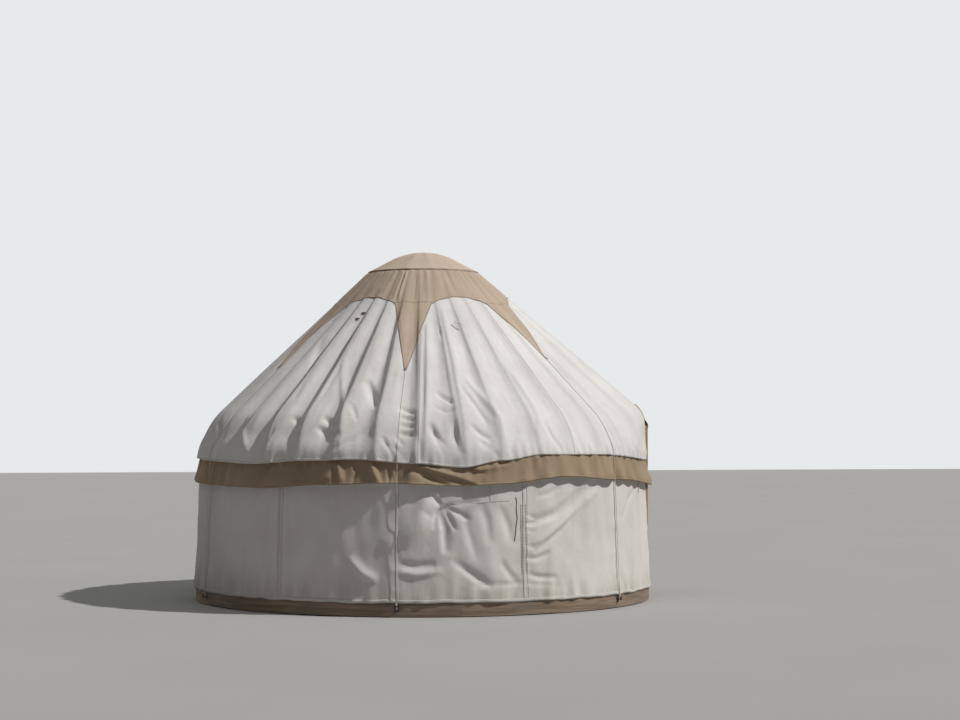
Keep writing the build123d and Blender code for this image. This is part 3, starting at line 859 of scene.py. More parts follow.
# The bays between the doorway and the camera's side have shallow folds only
HIDDEN_FOLDS = more_folds(11, -10, 170)
HIDDEN_FOLDS += [fold for fold in more_folds(23, -60, -10) if abs(fold.height) < 0.012]


def bay_depths():
    """How deep the roof canvas sags between each pair of poles, by bay from the doorway round."""
    rng = np.random.default_rng(5)
    depths = rng.uniform(0.014, 0.03, POLES)
    from_the_right = (
        0.008, 0.009, 0.010, 0.011, 0.013, 0.016, 0.02, 0.027, 0.028,
        0.036, 0.042, 0.048, 0.05, 0.05, 0.046, 0.04, 0.036,
    )
    for bearing, depth in zip(range(-20, -190, -POLE_PITCH), from_the_right):
        depths[(bearing // POLE_PITCH) % POLES] = depth
    return depths


# A skew over 1 puts a bay's deepest place nearer its left pole, as on the side that is seen
BAY_DEPTHS = bay_depths()
BAY_SKEWS = np.random.default_rng(9).uniform(0.75, 1.7, POLES)
BAY_SKEWS[18:35] = 1.85


def room_to_poles(height):
    """How far the roof canvas can sag at a height before it meets what is under it."""
    return 0.085 * smoothstep(1.6, 1.92, height)


def roof_relief(bearing, down):
    """How far the roof canvas stands off its plain run: sag between poles, creases and puckers."""
    bearing, down = np.broadcast_arrays(bearing, down)
    reach, height, lean = roof_base(bearing, down)

    # Between two poles the cloth sags below the chord from one to the other
    half_pole = 0.016
    offset = degrees_from(0, bearing, POLE_PITCH)
    away = np.abs(offset) * radians(1) * reach
    bay = np.floor(bearing / POLE_PITCH).astype(int) % POLES
    width = radians(POLE_PITCH) * reach
    across = bearing % POLE_PITCH / POLE_PITCH * width
    share = np.clip((across - half_pole) / (width - 2 * half_pole), 0, 1)
    sag = np.sin(np.pi * share ** BAY_SKEWS[bay])
    depth = BAY_DEPTHS[bay]
    half_bay = radians(POLE_PITCH / 2)
    chord = reach / 2 * (half_bay**2 - (half_bay - away / reach) ** 2)
    slack = depth * sag * smoothstep(0.1, 1.5, down)

    # Under the knee it hangs free, and stands out in front of the poles instead
    low = smoothstep(1.84, 1.60, height)
    out = -(slack + chord * np.cos(lean)) * (1 - low)
    out = out + low * depth * 0.62 * (1 - sag)

    # Creases, slow and fast unevenness, and gathers that fade above the hem
    folds = ROOF_FOLDS + HIDDEN_FOLDS
    out = out + folds_relief(folds, bearing, down, reach, roof_down) * ROOF_FOLD_DEPTH
    spread = smoothstep(0.2, 1.6, down)
    out = out + waves(3, bearing, down, 14, 60, 1.5) * 0.0045 * spread
    out = out + waves(4, bearing, down, 50, 150, 8.0) * 0.0016 * spread
    above_hem = height - around(ROOF_HEM, bearing)
    gathers = waves(6, bearing, down, 120, 240, 0.5) * 0.8 + waves(7, bearing, down, 60, 120, 0.5)
    patchy = np.clip(0.5 + waves(8, bearing, 0, 4, 14, 0), 0.2, 1)
    out = out + gathers * patchy * 0.016 * np.exp(-np.maximum(above_hem, 0) / 0.075)

    # It can't sink into a pole, or further than there is room
    on_pole = smoothstep(0.034, 0.022, away)
    out = np.where(out < 0, out * (1 - on_pole), out)
    return np.maximum(out, -0.001 - room_to_poles(height))


def turned(bearing, reach, height):
    """Points at a bearing, a distance from the axis and a height."""
    turn = np.radians(bearing)
    return stacked(reach * np.sin(turn), -reach * np.cos(turn), height)


def roof_point(bearing, down, proud=0.003):
    """A place on the roof canvas."""
    reach, height, lean = roof_base(bearing, down)
    out = roof_relief(bearing, down) + proud
    return turned(bearing, reach + out * np.cos(lean), height + out * np.sin(lean))


def wall_reach(height):
    """Radius of the wall's plain run, which flares towards its foot."""
    fall = (WALL_TOP_RADIUS - WALL_FOOT_RADIUS) * (height - DECK_TOP) / (BAND_TOP - DECK_TOP)
    return (WALL_FOOT_RADIUS + fall) / FLAT_TO_CORNER + 0.002


def wall_down(bearing, height):
    """On the wall the way down is the height, taken downwards."""
    return -np.asarray(height, dtype=float)


def wall_hem(bearing):
    """Height of the wall's wavy hem."""
    return 0.14 + waves(36, bearing, 0, 10, 60, 0) * 0.006


def wall_relief(bearing, height):
    """How far the wall canvas stands off its plain run: folds, drape and pull at the seams."""
    bearing, height = np.broadcast_arrays(bearing, height)
    reach = wall_reach(height)
    out = folds_relief(WALL_FOLDS, bearing, -height, reach, wall_down) * WALL_FOLD_DEPTH
    out = out + waves(31, bearing, height, 6, 30, 2.0) * 0.008
    out = out + waves(32, bearing, height, 30, 90, 5.0) * 0.0028
    out = out + waves(33, bearing, height, 9, 40, 9.0) * 0.004 * smoothstep(0.1, 0.4, height)

    # The foot waves in and out, and the seams pull the cloth tight beside them
    skirt = smoothstep(0.42, 0.15, height)
    out = out + skirt * (0.006 + waves(34, bearing, 0, 30, 110, 0) * 0.010)
    seam = degrees_from(SEAM_FIRST, bearing, SEAM_PITCH)
    pull = np.exp(-np.abs(seam) / 1.6)
    out = out * (1 - 0.65 * pull) + waves(35, bearing, height, 3, 8, 26.0) * 0.005 * pull

    # It lies flat on the band at its top, and can't sink into the lattice
    out = out * smoothstep(1.62, 1.45, height)
    room = np.minimum(reach - LATTICE_OUTSIDE, 0.04) * smoothstep(0.21, 0.4, height)
    return np.maximum(out, -np.maximum(room, 0.0) - 0.0005)


def wall_point(bearing, height, proud=0.0):
    """A place on the wall canvas."""
    reach = wall_reach(height) + wall_relief(bearing, height)
    return turned(bearing, reach + proud, height)


def under_roof(bearing, height):
    """Radius just inside the roof canvas at a height near its hem."""
    reach = roof_base(bearing, roof_down(bearing, height))[0]
    return reach - 0.0045 - room_to_poles(height)


def valance_place(bearing, share):
    """Radius and height of the valance, from its gathered top to its flared hem."""
    bearing, share = np.broadcast_arrays(bearing, share)
    roof_hem = around(ROOF_HEM, bearing)
    top = roof_hem + 0.03
    hem = around(VALANCE_HEM, bearing)
    height = top + (hem - top) * share

    # Flare, waves, gathers and folds, which all start at the roof's hem
    below = np.clip((roof_hem + 0.005 - height) / 0.22, 0, 1)
    flare = 0.05 * below**1.3
    out = flare + (waves(41, bearing, 0, 8, 30, 0) * 0.012 + 0.004) * below**0.8
    out = out + waves(42, bearing, share * 0.25, 30, 80, 5.0) * 0.017 * below**0.6
    gathers = waves(43, bearing, share * 0.25, 90, 170, 2.0) * 0.010 * np.exp(-below * 2)
    out = out + gathers * np.clip(below * 8, 0, 1)
    folds = folds_relief(VALANCE_FOLDS, bearing, -height, wall_reach(height), wall_down)
    out = out + folds * np.clip(below * 4, 0, 1)

    # The ropes hold it in
    rope = degrees_from(TIP_FIRST, bearing, TIP_PITCH)
    pinch = np.exp(-((rope / 1.1) ** 2))
    out = out * (1 - 0.8 * pinch)

    # It lies on the wall, and its top is tucked under the roof canvas
    base = np.maximum(wall_reach(height) + wall_relief(bearing, height) + 0.004, 2.4375)
    tucked = np.minimum(base, under_roof(bearing, height))
    base = np.where(height > roof_hem - 0.004, tucked, base)
    return base + np.clip(out, 0.0, 0.066), height


def valance_point(bearing, share, proud=0.0):
    """A place on the valance: 0 at its top, 1 at its hem."""
    reach, height = valance_place(bearing, share)
    return turned(bearing, reach + proud, height)


def tip_radius(bearing):
    """Length of the nearest point of the cap, from the yurt's axis."""
    turns = (np.asarray(bearing) - TIP_FIRST + TIP_PITCH / 2) / TIP_PITCH
    return np.array(TIP_RADII)[np.floor(turns).astype(int) % len(TIP_RADII)]


def scallop_reach(bearing):
    """Radius of the cap's edge: a shallow scallop between straight-sided points."""
    # A point's root and tip, in a frame whose first axis goes through a scallop's middle
    half = radians(TIP_PITCH / 2)
    root_turn = half - asin(POINT_WIDTH / 2 / POINT_RADIUS)
    root = (POINT_RADIUS * cos(root_turn), POINT_RADIUS * sin(root_turn))
    far = tip_radius(bearing)
    tip_turn = half - 0.012 / far
    run = (far * np.cos(tip_turn) - root[0], far * np.sin(tip_turn) - root[1])

    # The scallop's arc through both roots
    sagitta = root[0] - SCALLOP_RADIUS
    arc = (root[1] ** 2 + sagitta**2) / 2 / sagitta
    from_scallop = (np.asarray(bearing) - TIP_FIRST) % TIP_PITCH - TIP_PITCH / 2
    turn = np.abs(from_scallop) * radians(1)
    middle = (SCALLOP_RADIUS + arc) * np.cos(turn)
    inside = middle * middle - (SCALLOP_RADIUS + arc) ** 2 + arc**2
    scallop = middle - np.sqrt(np.maximum(inside, 0))

    # The straight side from root to tip
    cross = root[0] * run[1] - root[1] * run[0]
    edge = cross / np.maximum(np.cos(turn) * run[1] - np.sin(turn) * run[0], 0.01)
    reach = np.where(turn < root_turn, scallop, edge)
    return np.where(turn > tip_turn, far, np.minimum(reach, far))


def star_point(bearing, reach, proud=0.0):
    """A place on the cap's skirt, at a radius."""
    bearing, reach = np.broadcast_arrays(bearing, reach)
    slope = roof_run(bearing)[0]
    down = (reach - CROWN_RADIUS) / np.cos(slope)
    pleat = waves(51, bearing, down, 20, 70, 1.0) * 0.006 * np.exp(-down / 0.5)
    pleat = pleat + waves(52, bearing, down, 5, 22, 2.0) * 0.004

    # One tight place and two deep pleats, as the photograph shows them
    tight = np.exp(-(degrees_from(-105, bearing) ** 2)) * np.exp(-(((down - 0.3) / 0.25) ** 2))
    away = degrees_from(-115, bearing)
    deep = 0.021 * np.exp(-((away / 0.8) ** 2)) + 0.015 * np.exp(-(((away + 3.2) / 0.7) ** 2))
    deep = deep * smoothstep(0.01, 0.08, down) * smoothstep(0.56, 0.42, down)
    out = 0.010 + np.maximum(pleat, -0.004) - tight * 0.004 + deep

    # Flat at its top seam and closer to the roof at its edge
    at_top = 0.0055
    out = at_top + (out - at_top) * smoothstep(0.0, 0.05, down)
    edge = smoothstep(0.12, 0.0, scallop_reach(bearing) - reach)
    return roof_point(bearing, down, out * (1 - 0.35 * edge) + proud)


def dome_point(bearing, share, proud=0.0):
    """A place on the cap's dome: 0 at its seam, 1 at its top."""
    bearing, share = np.asarray(bearing), np.asarray(share)

    # The run over its top: a lip past the seam, a short straight line, and then the ball
    rise = DOME_SEAM_HEIGHT - DOME_CENTRE
    span = hypot(DOME_SEAM_RADIUS, rise)
    line = sqrt(max(span**2 - DOME_BALL**2, 0))
    leave = atan2(rise, DOME_SEAM_RADIUS) + atan2(line, DOME_BALL)
    total = line + DOME_BALL * (pi / 2 - leave)
    run = share * total
    turn = leave + np.maximum(run - line, 0) / DOME_BALL
    short = np.maximum(line - np.maximum(run, 0), 0)
    lip = np.minimum(run, 0)

    # Each gore sinks a little between its seams
    gore = bearing % DOME_GORE / DOME_GORE
    sink = -0.005 * np.sin(np.pi * gore) ** 2 * np.sin(np.pi * np.clip(share, 0, 1)) ** 0.5
    sink = sink + waves(61, bearing, share * 0.8, 8, 30, 2.0) * 0.0022 * (1 - share)
    out = DOME_BALL + 0.003 + sink * 0.8 + proud
    slope = radians(ROOF_SLOPE)
    reach = out * np.cos(turn) + short * np.sin(turn) - lip * cos(slope)
    height = DOME_CENTRE + out * np.sin(turn) - short * np.cos(turn) + lip * sin(slope)
    return turned(bearing, reach, height)


# Covers


def cloth_sheet(name, point, bearings, ways, radius, thickness=0.0014):
    """A sheet over a grid of bearings and ways down, its cloth places in metres at a radius."""
    points = point(bearings, ways)
    thing = grid(name, points, stacked(np.radians(bearings) * radius, run_along(points)))
    thicken(thing, thickness)
    return thing


def strip(name, point, bearings, ways, width, proud, rows=5, thick=0.0008):
    """A sewn strip along a line on a cover, which lies over it and is thin at its edges.

    Where the line keeps to one bearing or one way down, a single number stands for it.
    """
    bearings, ways = np.broadcast_arrays(np.asarray(bearings, float), np.asarray(ways, float))
    middle = point(bearings[None], ways[None])[0]
    nudge, push = 0.05, 0.001
    east = (point(bearings[None] + nudge, ways[None])[0] - middle) / nudge
    south = (point(bearings[None], ways[None] + push)[0] - middle) / push
    along = np.gradient(middle, axis=0)
    along /= np.linalg.norm(along, axis=1)[:, None]
    normal = np.cross(east, south)
    normal /= np.linalg.norm(normal, axis=1)[:, None]
    side = np.cross(normal, along)

    # A metre sideways in terms of bearing and way, from the two slopes of the cover there
    east_east, south_south = (east * east).sum(1), (south * south).sum(1)
    east_south = (east * south).sum(1)
    side_east, side_south = (side * east).sum(1), (side * south).sum(1)
    both = east_east * south_south - east_south * east_south
    bearing_step = (side_east * south_south - side_south * east_south) / both
    way_step = (side_south * east_east - side_east * east_south) / both

    points, cloth = [], []
    run = run_along(middle)
    for share in np.linspace(-0.5, 0.5, rows):
        lift = proud * (1 - (2 * abs(share)) ** 6) + 0.0003
        bearings_there = bearings + bearing_step * width * share
        ways_there = ways + way_step * width * share
        points.append(point(bearings_there[None], ways_there[None], lift)[0])
        cloth.append(stacked(share + 0.5, run))
    thing = grid(name, np.array(points), np.array(cloth))
    thicken(thing, thick)
    return thing


def spot(point, bearing, way, proud):
    """One place on a cover."""
    return point(np.array([[float(bearing)]]), np.array([[float(way)]]), proud)[0, 0]


def on_roof(bearing, down, proud=0.003):
    """A place on what is sewn to the roof canvas."""
    return roof_point(bearing, down, 0.003 + proud)


def hem_down(bearing):
    """The way down the roof to its hem."""
    return roof_down(bearing, around(ROOF_HEM, bearing))


def make_roof():
    """The roof canvas in two sewn halves, cut away over the doorway."""
    halves = []
    crowding = 0.28
    for name, first in (("roof_cover_left", -190), ("roof_cover_right", -10)):
        bearings = np.linspace(first, first + 180, 391)[None]
        share = np.linspace(0, 1, 92)[:, None]
        downs = hem_down(bearings) * ((1 + crowding) * share - crowding * share * share)
        half = cloth_sheet(name, roof_point, bearings, downs, 2.2)
        cut_doorway(half, 1.3, LINTEL_TOP + 0.0004)
        halves.append(half)
    return halves


def make_patch():
    """A small patch of plain canvas near the cap, set on its corner."""
    bearing, half_width, half_length = -82.5, 3.3, 0.075
    left, right = np.array([(bearing - half_width, 0.0), (bearing + half_width, 0.0)])
    top, foot = np.array([(bearing, -half_length), (bearing, half_length)])
    share = np.linspace(0, 1, 9)[:, None]
    rows = []
    for part in share:
        start = left * (1 - part) + foot * part
        end = top * (1 - part) + right * part
        rows.append(start * (1 - share) + end * share)
    rows = np.array(rows)
    downs = float(roof_down(bearing, 2.938)) + rows[..., 1]
    cloth = np.stack(np.meshgrid(share, share * 0.12), axis=-1)
    patch = grid("patch", on_roof(rows[..., 0], downs, 0.0036), cloth)
    thicken(patch, 0.001)
    return patch


def make_roof_seams():
    """Sewn strips down the roof, a rolled hem and a diamond patch."""
    strips = []
    for bearing in (-100, -60, -20, 20, 60, 100, 140, 180, -140):
        downs = np.linspace(0.02, float(hem_down(bearing)) - 0.004, 150)
        strips.append(strip("seam", on_roof, bearing, downs, 0.016, 0.0010))
    for first, last in ((-168, -12.2), (12.2, 168), (168, 192)):
        bearings = np.linspace(first, last, int(abs(last - first) * 2.2))
        downs = hem_down(bearings) - 0.013
        strips.append(strip("hem", on_roof, bearings, downs, 0.022, 0.0010, rows=4))
    return joined([*strips, make_patch()], "roof_seams")


def make_wall():
    """The wall canvas in two runs that meet at the back, each cut at its jamb."""
    halves = []
    for name, first in (("wall_cover_left", -180), ("wall_cover_right", 11)):
        bearings = np.linspace(first, first + 169, 391)[None]
        share = np.linspace(0, 1, 66)[:, None]
        heights = 1.6 + (wall_hem(bearings) - 1.6) * share
        half = cloth_sheet(name, wall_point, bearings, heights, 2.45)
        cut_doorway(half, 0.05, 1.7)
        halves.append(half)
    return halves


def make_wall_seams():
    """The seams between the lengths, the sewn pocket line, the hem and the bindings at the jambs."""
    strips = []

    def sew(name, bearings, heights, width, proud, rows=5):
        strips.append(strip(name, wall_point, bearings, heights, width, proud, rows=rows))

    for number in range(11):
        bearing = SEAM_FIRST + number * SEAM_PITCH
        heights = np.linspace(1.55, 0.15, 96)
        drift = 0.12 * np.sin(heights * 4 + number)
        sew("seam", bearing + drift, heights, 0.03, 0.0014)
        if number % 2:
            sew("seam", bearing + 1.0 + drift, heights, 0.012, 0.0012)
    for first, last in ((13.0, 180.0), (180.0, 347.0)):
        bearings = np.linspace(first, last, 420)
        sew("hem", bearings, wall_hem(bearings) + 0.018, 0.032, 0.0016, rows=4)
    sew("seam", np.linspace(-93.5, -78.5, 60), np.linspace(1.105, 1.14, 60), 0.014, 0.0014)
    sew("seam", -83.3, np.linspace(1.3, 1.135, 30), 0.014, 0.0014)
    for side in (-1, 1):
        heights = np.linspace(1.55, 0.15, 90)
        past_jamb = (FRAME_HALF_WIDTH + 0.022) / wall_reach(heights)
        sew("binding", side * np.degrees(np.arcsin(past_jamb)), heights, 0.04, 0.002)
    return joined(strips, "wall_seams")


def make_valance():
    """The trim band in two runs from the jambs, meeting at the back."""
    halves = []
    for name, first in (("valance_left", -180), ("valance_right", 11)):
        bearings = np.linspace(first, first + 169, 521)[None]
        share = np.linspace(0, 1, 22)[:, None]
        half = cloth_sheet(name + "_cover", valance_point, bearings, share, 2.45)
        cut_doorway(half, 1.1, 1.8)
        halves.append(half)
    return halves


def make_valance_hem():
    """The valance's folded lower edge."""
    near_edge = 0.955
    strips = []
    for first, last in ((12.4, 180.0), (180.0, 347.6)):
        bearings = np.linspace(first, last, 700)
        strips.append(strip("hem", valance_point, bearings, near_edge, 0.02, 0.0014, rows=4))
    return joined(strips, "valance_hem")


def star_bearings():
    """Bearings that crowd together at the cap's points."""
    share = np.linspace(0, 1, 97)[:-1]
    part = TIP_PITCH * (share - 0.93 * np.sin(2 * pi * share) / (2 * pi))
    turns = [tip + part for tip in TIPS]
    return np.concatenate([*turns, [TIP_FIRST + 360]])


def make_star():
    """The cap's skirt, from the crown's edge out to its scallops and points."""
    bearings = star_bearings()[None]
    share = np.linspace(0, 1, 40)[:, None]
    reaches = SKIRT_TOP_RADIUS + (scallop_reach(bearings) - SKIRT_TOP_RADIUS) * share
    return cloth_sheet("cap_skirt", star_point, bearings, reaches, 1.0, 0.0012)


def make_star_seams():
    """Binding along the scallops and points, and the ring seam across each point."""
    bearings = star_bearings()[1:-1]
    reaches = scallop_reach(bearings) - 0.007
    strips = [strip("binding", star_point, bearings, reaches, 0.012, 0.0016, rows=4)]
    for tip in TIPS:
        near = np.linspace(tip - 14, tip + 14, 129)
        near = near[scallop_reach(near) > RING_SEAM_RADIUS + 0.012]
        strips.append(strip("seam", star_point, near, RING_SEAM_RADIUS, 0.009, 0.0013, rows=4))
    return joined(strips, "cap_seams")


def make_dome():
    """The cap's dome, and the seam where its lip meets the skirt."""
    bearings = np.linspace(0, 360, 241)[None]
    share = np.concatenate([np.linspace(-0.02, 0.96, 30), [0.985, 0.998]])[:, None][::-1]
    dome = cloth_sheet("cap_dome", dome_point, bearings, share, 0.5)
    seam = strip("dome_seam", dome_point, np.linspace(0, 360, 361), 0.005, 0.012, 0.0010, rows=4)
    return dome, seam


def make_pelmet():
    """The trim panel that hangs over the doorway from the knee to the lintel."""
    bearings = np.linspace(-12, 12, 90)[None]
    first = float(roof_down(0.0, 2.112))
    last = float(roof_down(0.0, 1.858))
    share = np.linspace(0, 1, 34)[:, None]
    turn = np.radians(bearings)
    sag = 0.004 * np.sin(turn * 18) * share + 0.003 * np.sin(turn * 61)
    downs = first + (last + sag - first) * share

    def on_panel(bearing, down, proud=0.0):
        """A place on the panel, which leaves the roof and falls straight over the lintel."""
        place = roof_point(bearing, down, 0.0088 + proud)
        hang = smoothstep(1.965, 1.884, place[..., 2])
        face = place[..., 1] * (1 - hang) + (-PELMET_REACH - proud) * hang
        place[..., 1] = np.minimum(place[..., 1], face)
        return place

    panel = cloth_sheet("door_pelmet_cover", on_panel, bearings, downs, 2.4, 0.0012)
    line = np.linspace(-11.8, 11.8, 90)
    way = np.linspace(first + 0.01, last - 0.01, 50)
    edges = (
        (line, last - 0.014, 0.022), (line, first + 0.012, 0.018),
        (-11.7, way, 0.02), (11.7, way, 0.02),
    )
    strips = [strip("hem", on_panel, *edge, 0.0012, rows=4) for edge in edges]
    return panel, joined(strips, "pelmet_hems")


def make_flap():
    """The door flap rolled up under the lintel's top edge, with two tapes round it."""
    tape_place = 0.27
    rounds = 4.3
    centre = np.array([-2.2497, 1.832])
    turns = np.linspace(0, 2 * pi * rounds, 150)
    radius = 0.008 + 0.0355 * (turns / turns[-1]) ** 0.85
    spiral = stacked(radius * np.cos(turns + 0.9), radius * np.sin(turns + 0.9))
    across = np.linspace(-0.45, 0.45, 34)
    points = np.empty((len(turns), len(across), 3))
    for number, x in enumerate(across):
        wobble = 1 + 0.03 * sin(x * 23) + 0.02 * sin(x * 51 + 1)
        squeeze = 1 - 0.16 * np.exp(-(((abs(x) - tape_place) / 0.03) ** 2))
        points[:, number, 0] = x + 0.004 * np.sin(turns * 0.7)
        points[:, number, 1:] = centre + spiral * wobble * squeeze
    cloth = stacked(across[None], run_along(spiral)[:, None])
    roll = grid("door_flap_cover", points, cloth, flip=True)
    thicken(roll, 0.0014)

    tapes = []
    angle = np.linspace(0, 2 * pi, 49)
    ring = stacked(np.cos(angle), np.sin(angle))
    edge, face = 0.0375, 0.0385
    profile = ((-0.0125, edge), (-0.012, face), (0, face), (0.012, face), (0.0125, edge))
    for x in (-tape_place, tape_place):
        rows = []
        for shift, out in profile:
            rows.append(np.column_stack([np.full(49, x + shift), centre + out * ring]))
        edges = np.linspace(0, 1, len(rows))[:, None]
        tape = grid("tape", np.array(rows), stacked(edges, angle[None] * 0.045))
        thicken(tape, 0.0015)
        tapes.append(tape)
    return roll, joined(tapes, "flap_tapes")


# Ropes, lacing and small fittings


def directions(bearing, slope=0.0):
    """The ways out and down a slope, sideways, and off the slope at a bearing."""
    turn = radians(bearing)
    way = np.array([sin(turn) * cos(slope), -cos(turn) * cos(slope), -sin(slope)])
    side = np.array([cos(turn), sin(turn), 0])
    return way, side, np.cross(side, way)


def oval(middle, across, along, count):
    """Points round an oval with these two half-widths, from the end of the second."""
    angles = np.linspace(0, 2 * pi, count)[:, None]
    return middle + across * np.sin(angles) + along * np.cos(angles)


def tie_route(bearing):
    """A tie rope's places: along the roof, over the knee and the valance, and down to its hook."""
    start = (float(tip_radius(bearing)) + 0.03 - CROWN_RADIUS) / cos(slope_at(bearing))
    leaves_at = 1.56
    downs = np.linspace(start, float(roof_down(bearing, leaves_at)), 90)
    laid = roof_point(np.full((1, 90), float(bearing)), downs[None], 0.0062)[0]
    laid = laid[laid[:, 2] > leaves_at]
    last_reach, last_height = hypot(laid[-1, 0], laid[-1, 1]), laid[-1, 2]
    at_doorway = abs(bearing) == TIP_FIRST
    hook_reach = 2.5245 if at_doorway else 2.5085
    heights = np.array([1.47, 1.36, 1.3, 1.2, 1.0, 0.7, 0.4, HOOK_HEIGHT])
    share = (last_height - heights) / (last_height - HOOK_HEIGHT)
    reaches = np.maximum(last_reach + (hook_reach - last_reach) * share, last_reach)
    return np.vstack([laid, turned(np.full(8, float(bearing)), reaches, heights)])


def make_ropes():
    """Six tie ropes, each with a loop on its hook and four turns above it."""
    ropes = []
    up = np.array([0, 0, 1])
    for tip in TIPS:
        bearing = degrees_from(0, tip)
        route = tie_route(bearing)
        ropes.append(tube("rope", route, 0.0029, 8))
        foot = route[-1]
        out, side, _ = directions(bearing)
        loop = oval(foot - up * 0.0064, side * 0.0085, up * 0.012, 33)
        ropes.append(tube("loop", loop, 0.0032, 6))
        for step in range(4):
            middle = foot + up * (0.022 + 0.0065 * step) - out * 0.0002 * step
            coil = oval(middle, out * 0.0062, side * 0.0062, 17)
            ropes.append(tube("turn", coil, 0.0032, 6))
    return joined(ropes, "tie_rope_lines")


def make_tip_rings():
    """An iron ring and a short tie at each point of the cap."""
    rings, ties = [], []
    for bearing in TIPS:
        slope = slope_at(bearing)
        down = (float(tip_radius(bearing)) + 0.012 - CROWN_RADIUS) / cos(slope)
        middle = spot(roof_point, bearing, down, 0.0125)
        way, side, normal = directions(bearing, slope)
        turns = Matrix((side, way, normal)).transposed().to_euler()
        rings.append(hoop(middle, 0.014, 0.0022, 28, 8, turns))
        for shift in (-0.004, 0.0, 0.004):
            loop = oval(middle - way * 0.017 + side * shift, normal * 0.0045, way * -0.011, 21)
            ties.append(tube("tie", loop, 0.0019, 6))
    return joined(rings, "point_rings"), joined(ties, "point_ties")


def make_lacing():
    """The ladder of cord that laces a wall seam, with an eyelet at each end of a rung."""
    cords, eyelets = [], []
    half, pitch = 0.62, 0.032
    spread = np.linspace(-half, half, 9)[None]
    for bearing, top, foot in ((-75, 1.09, 0.40), (45, 1.2, 0.30), (165, 1.2, 0.30)):
        for number in range(int((top - foot) / pitch)):
            height = top - number * pitch
            line = wall_point(bearing + spread, height + 0.004 * spread, 0.0042)[0]
            cords.append(tube("rung", line, 0.0017, 5))
            for side in (-half, half):
                place = spot(wall_point, bearing + side, height, 0.0022)
                turns = (radians(90), 0, radians(bearing + side))
                eyelets.append(hoop(place, 0.0052, 0.0016, 12, 5, turns))
        heights = np.linspace(top + 0.01, foot, 60)
        for side in (-half, half):
            line = wall_point(np.full((1, 60), bearing + side), heights[None], 0.0036)[0]
            cords.append(tube("side", line, 0.0016, 5))
    return joined(cords, "wall_lacing"), joined(eyelets, "lacing_eyelets")


def make_loose_ties():
    """A narrow tape sewn on by the laced seam, and four short straps below the valance."""
    path = np.array([
        (-76.9, 1.17), (-76.7, 1.12), (-76.85, 1.05), (-76.6, 0.97), (-76.9, 0.88),
        (-77.1, 0.80), (-77.4, 0.735),
    ])
    fine = np.linspace(0, len(path) - 1, 50)
    bearings = np.interp(fine, range(len(path)), path[:, 0])
    heights = np.interp(fine, range(len(path)), path[:, 1])
    tape = strip("lacing_tape", wall_point, bearings, heights, 0.008, 0.004, rows=4, thick=0.001)
    straps = []
    drop = np.linspace(1.28, 1.165, 24)
    for bearing in (-29, 31, 91, 151):
        straps.append(strip("strap", wall_point, bearing, drop, 0.02, 0.002, rows=4, thick=0.001))
    return tape, joined(straps, "short_straps")


def make_toggles():
    """Two pairs of small wooden toggles on the roof, each in a loop of cord."""
    pegs, loops = [], []
    for bearing, height in ((-135.6, 3.02), (-134.2, 3.085), (105, 3.03), (106.5, 3.095)):
        place = spot(roof_point, bearing, roof_down(bearing, height), 0.012)
        way, side, normal = directions(bearing, slope_at(bearing))
        peg = shape(bpy.ops.mesh.primitive_cylinder_add, vertices=16, radius=0.0075, depth=0.05)
        apply_modifier(peg, "BEVEL", "ends", width=0.0025, segments=2, limit_method="ANGLE")
        peg.rotation_euler = Vector(side).to_track_quat("Z", "Y").to_euler()
        peg.location = place
        settle(peg)
        smooth(peg, 40)
        pegs.append(peg)
        loop = oval(place + way * 0.011, normal * 0.0095, way * 0.0125, 25)
        loops.append(tube("loop", loop, 0.0022, 6))
    return joined(pegs, "toggles"), joined(loops, "toggle_loops")


# Timber and the inside


def make_deck():
    """Deck boards cut from one disc, with a gap between each pair."""
    board, gap, thickness = 0.138, 0.004, 0.028
    middle = DECK_TOP - thickness / 2
    deck = shape(
        bpy.ops.mesh.primitive_cylinder_add, vertices=256, radius=DECK_RADIUS, depth=thickness,
        location=(0, 0, middle),
    )
    deck.name = "deck_boards"
    slits = 36
    first = -(slits - 1) / 2 * board
    slit = shape(bpy.ops.mesh.primitive_cube_add, size=1, location=(0, first, middle))
    slit.scale = (6, gap, 0.08)
    settle(slit)
    apply_modifier(
        slit, "ARRAY", "boards", count=slits, use_relative_offset=False,
        use_constant_offset=True, constant_offset_displace=(0, board, 0),
    )
    apply_modifier(deck, "BOOLEAN", "gaps", object=slit, operation="DIFFERENCE", solver="EXACT")
    bpy.data.objects.remove(slit)
    apply_modifier(
        deck, "BEVEL", "arris", width=0.0018, segments=1, limit_method="ANGLE",
        angle_limit=radians(50),
    )
    smooth(deck, 30)
    return deck


def make_rim_joints():
    """A block behind each joint where the platform's curved rim boards meet."""
    reach = 2.4465
    blocks = []
    for number in range(12):
        turn = radians(2.5 + 30 * number)
        block = shape(bpy.ops.mesh.primitive_cube_add, size=1)
        block.scale = (0.07, 0.018, 0.118)
        settle(block)
        apply_modifier(block, "BEVEL", "arris", width=0.002, segments=2, limit_method="ANGLE")
        block.location = (sin(turn) * reach, -cos(turn) * reach, 0.092)
        block.rotation_euler = (0, 0, turn)
        settle(block)
        smooth(block, 30)
        blocks.append(block)
    return joined(blocks, "rim_backing_blocks")


def make_band():
    """The woven band round the lattice's top."""
    reach, width = 2.4196, 0.08
    bearings = np.linspace(11.9, 348.1, 420)[None]
    heights = BAND_TOP - np.linspace(0.0005, width - 0.0005, 7)[:, None]
    turn = np.radians(bearings)
    ripple = 0.0006 * np.sin(turn * 90)
    points = turned(bearings, reach + ripple, heights)
    cloth = stacked(turn * 2.42, heights - (BAND_TOP - width))
    band = grid("lattice_band", points, cloth)
    thicken(band, -0.0018)
    return band


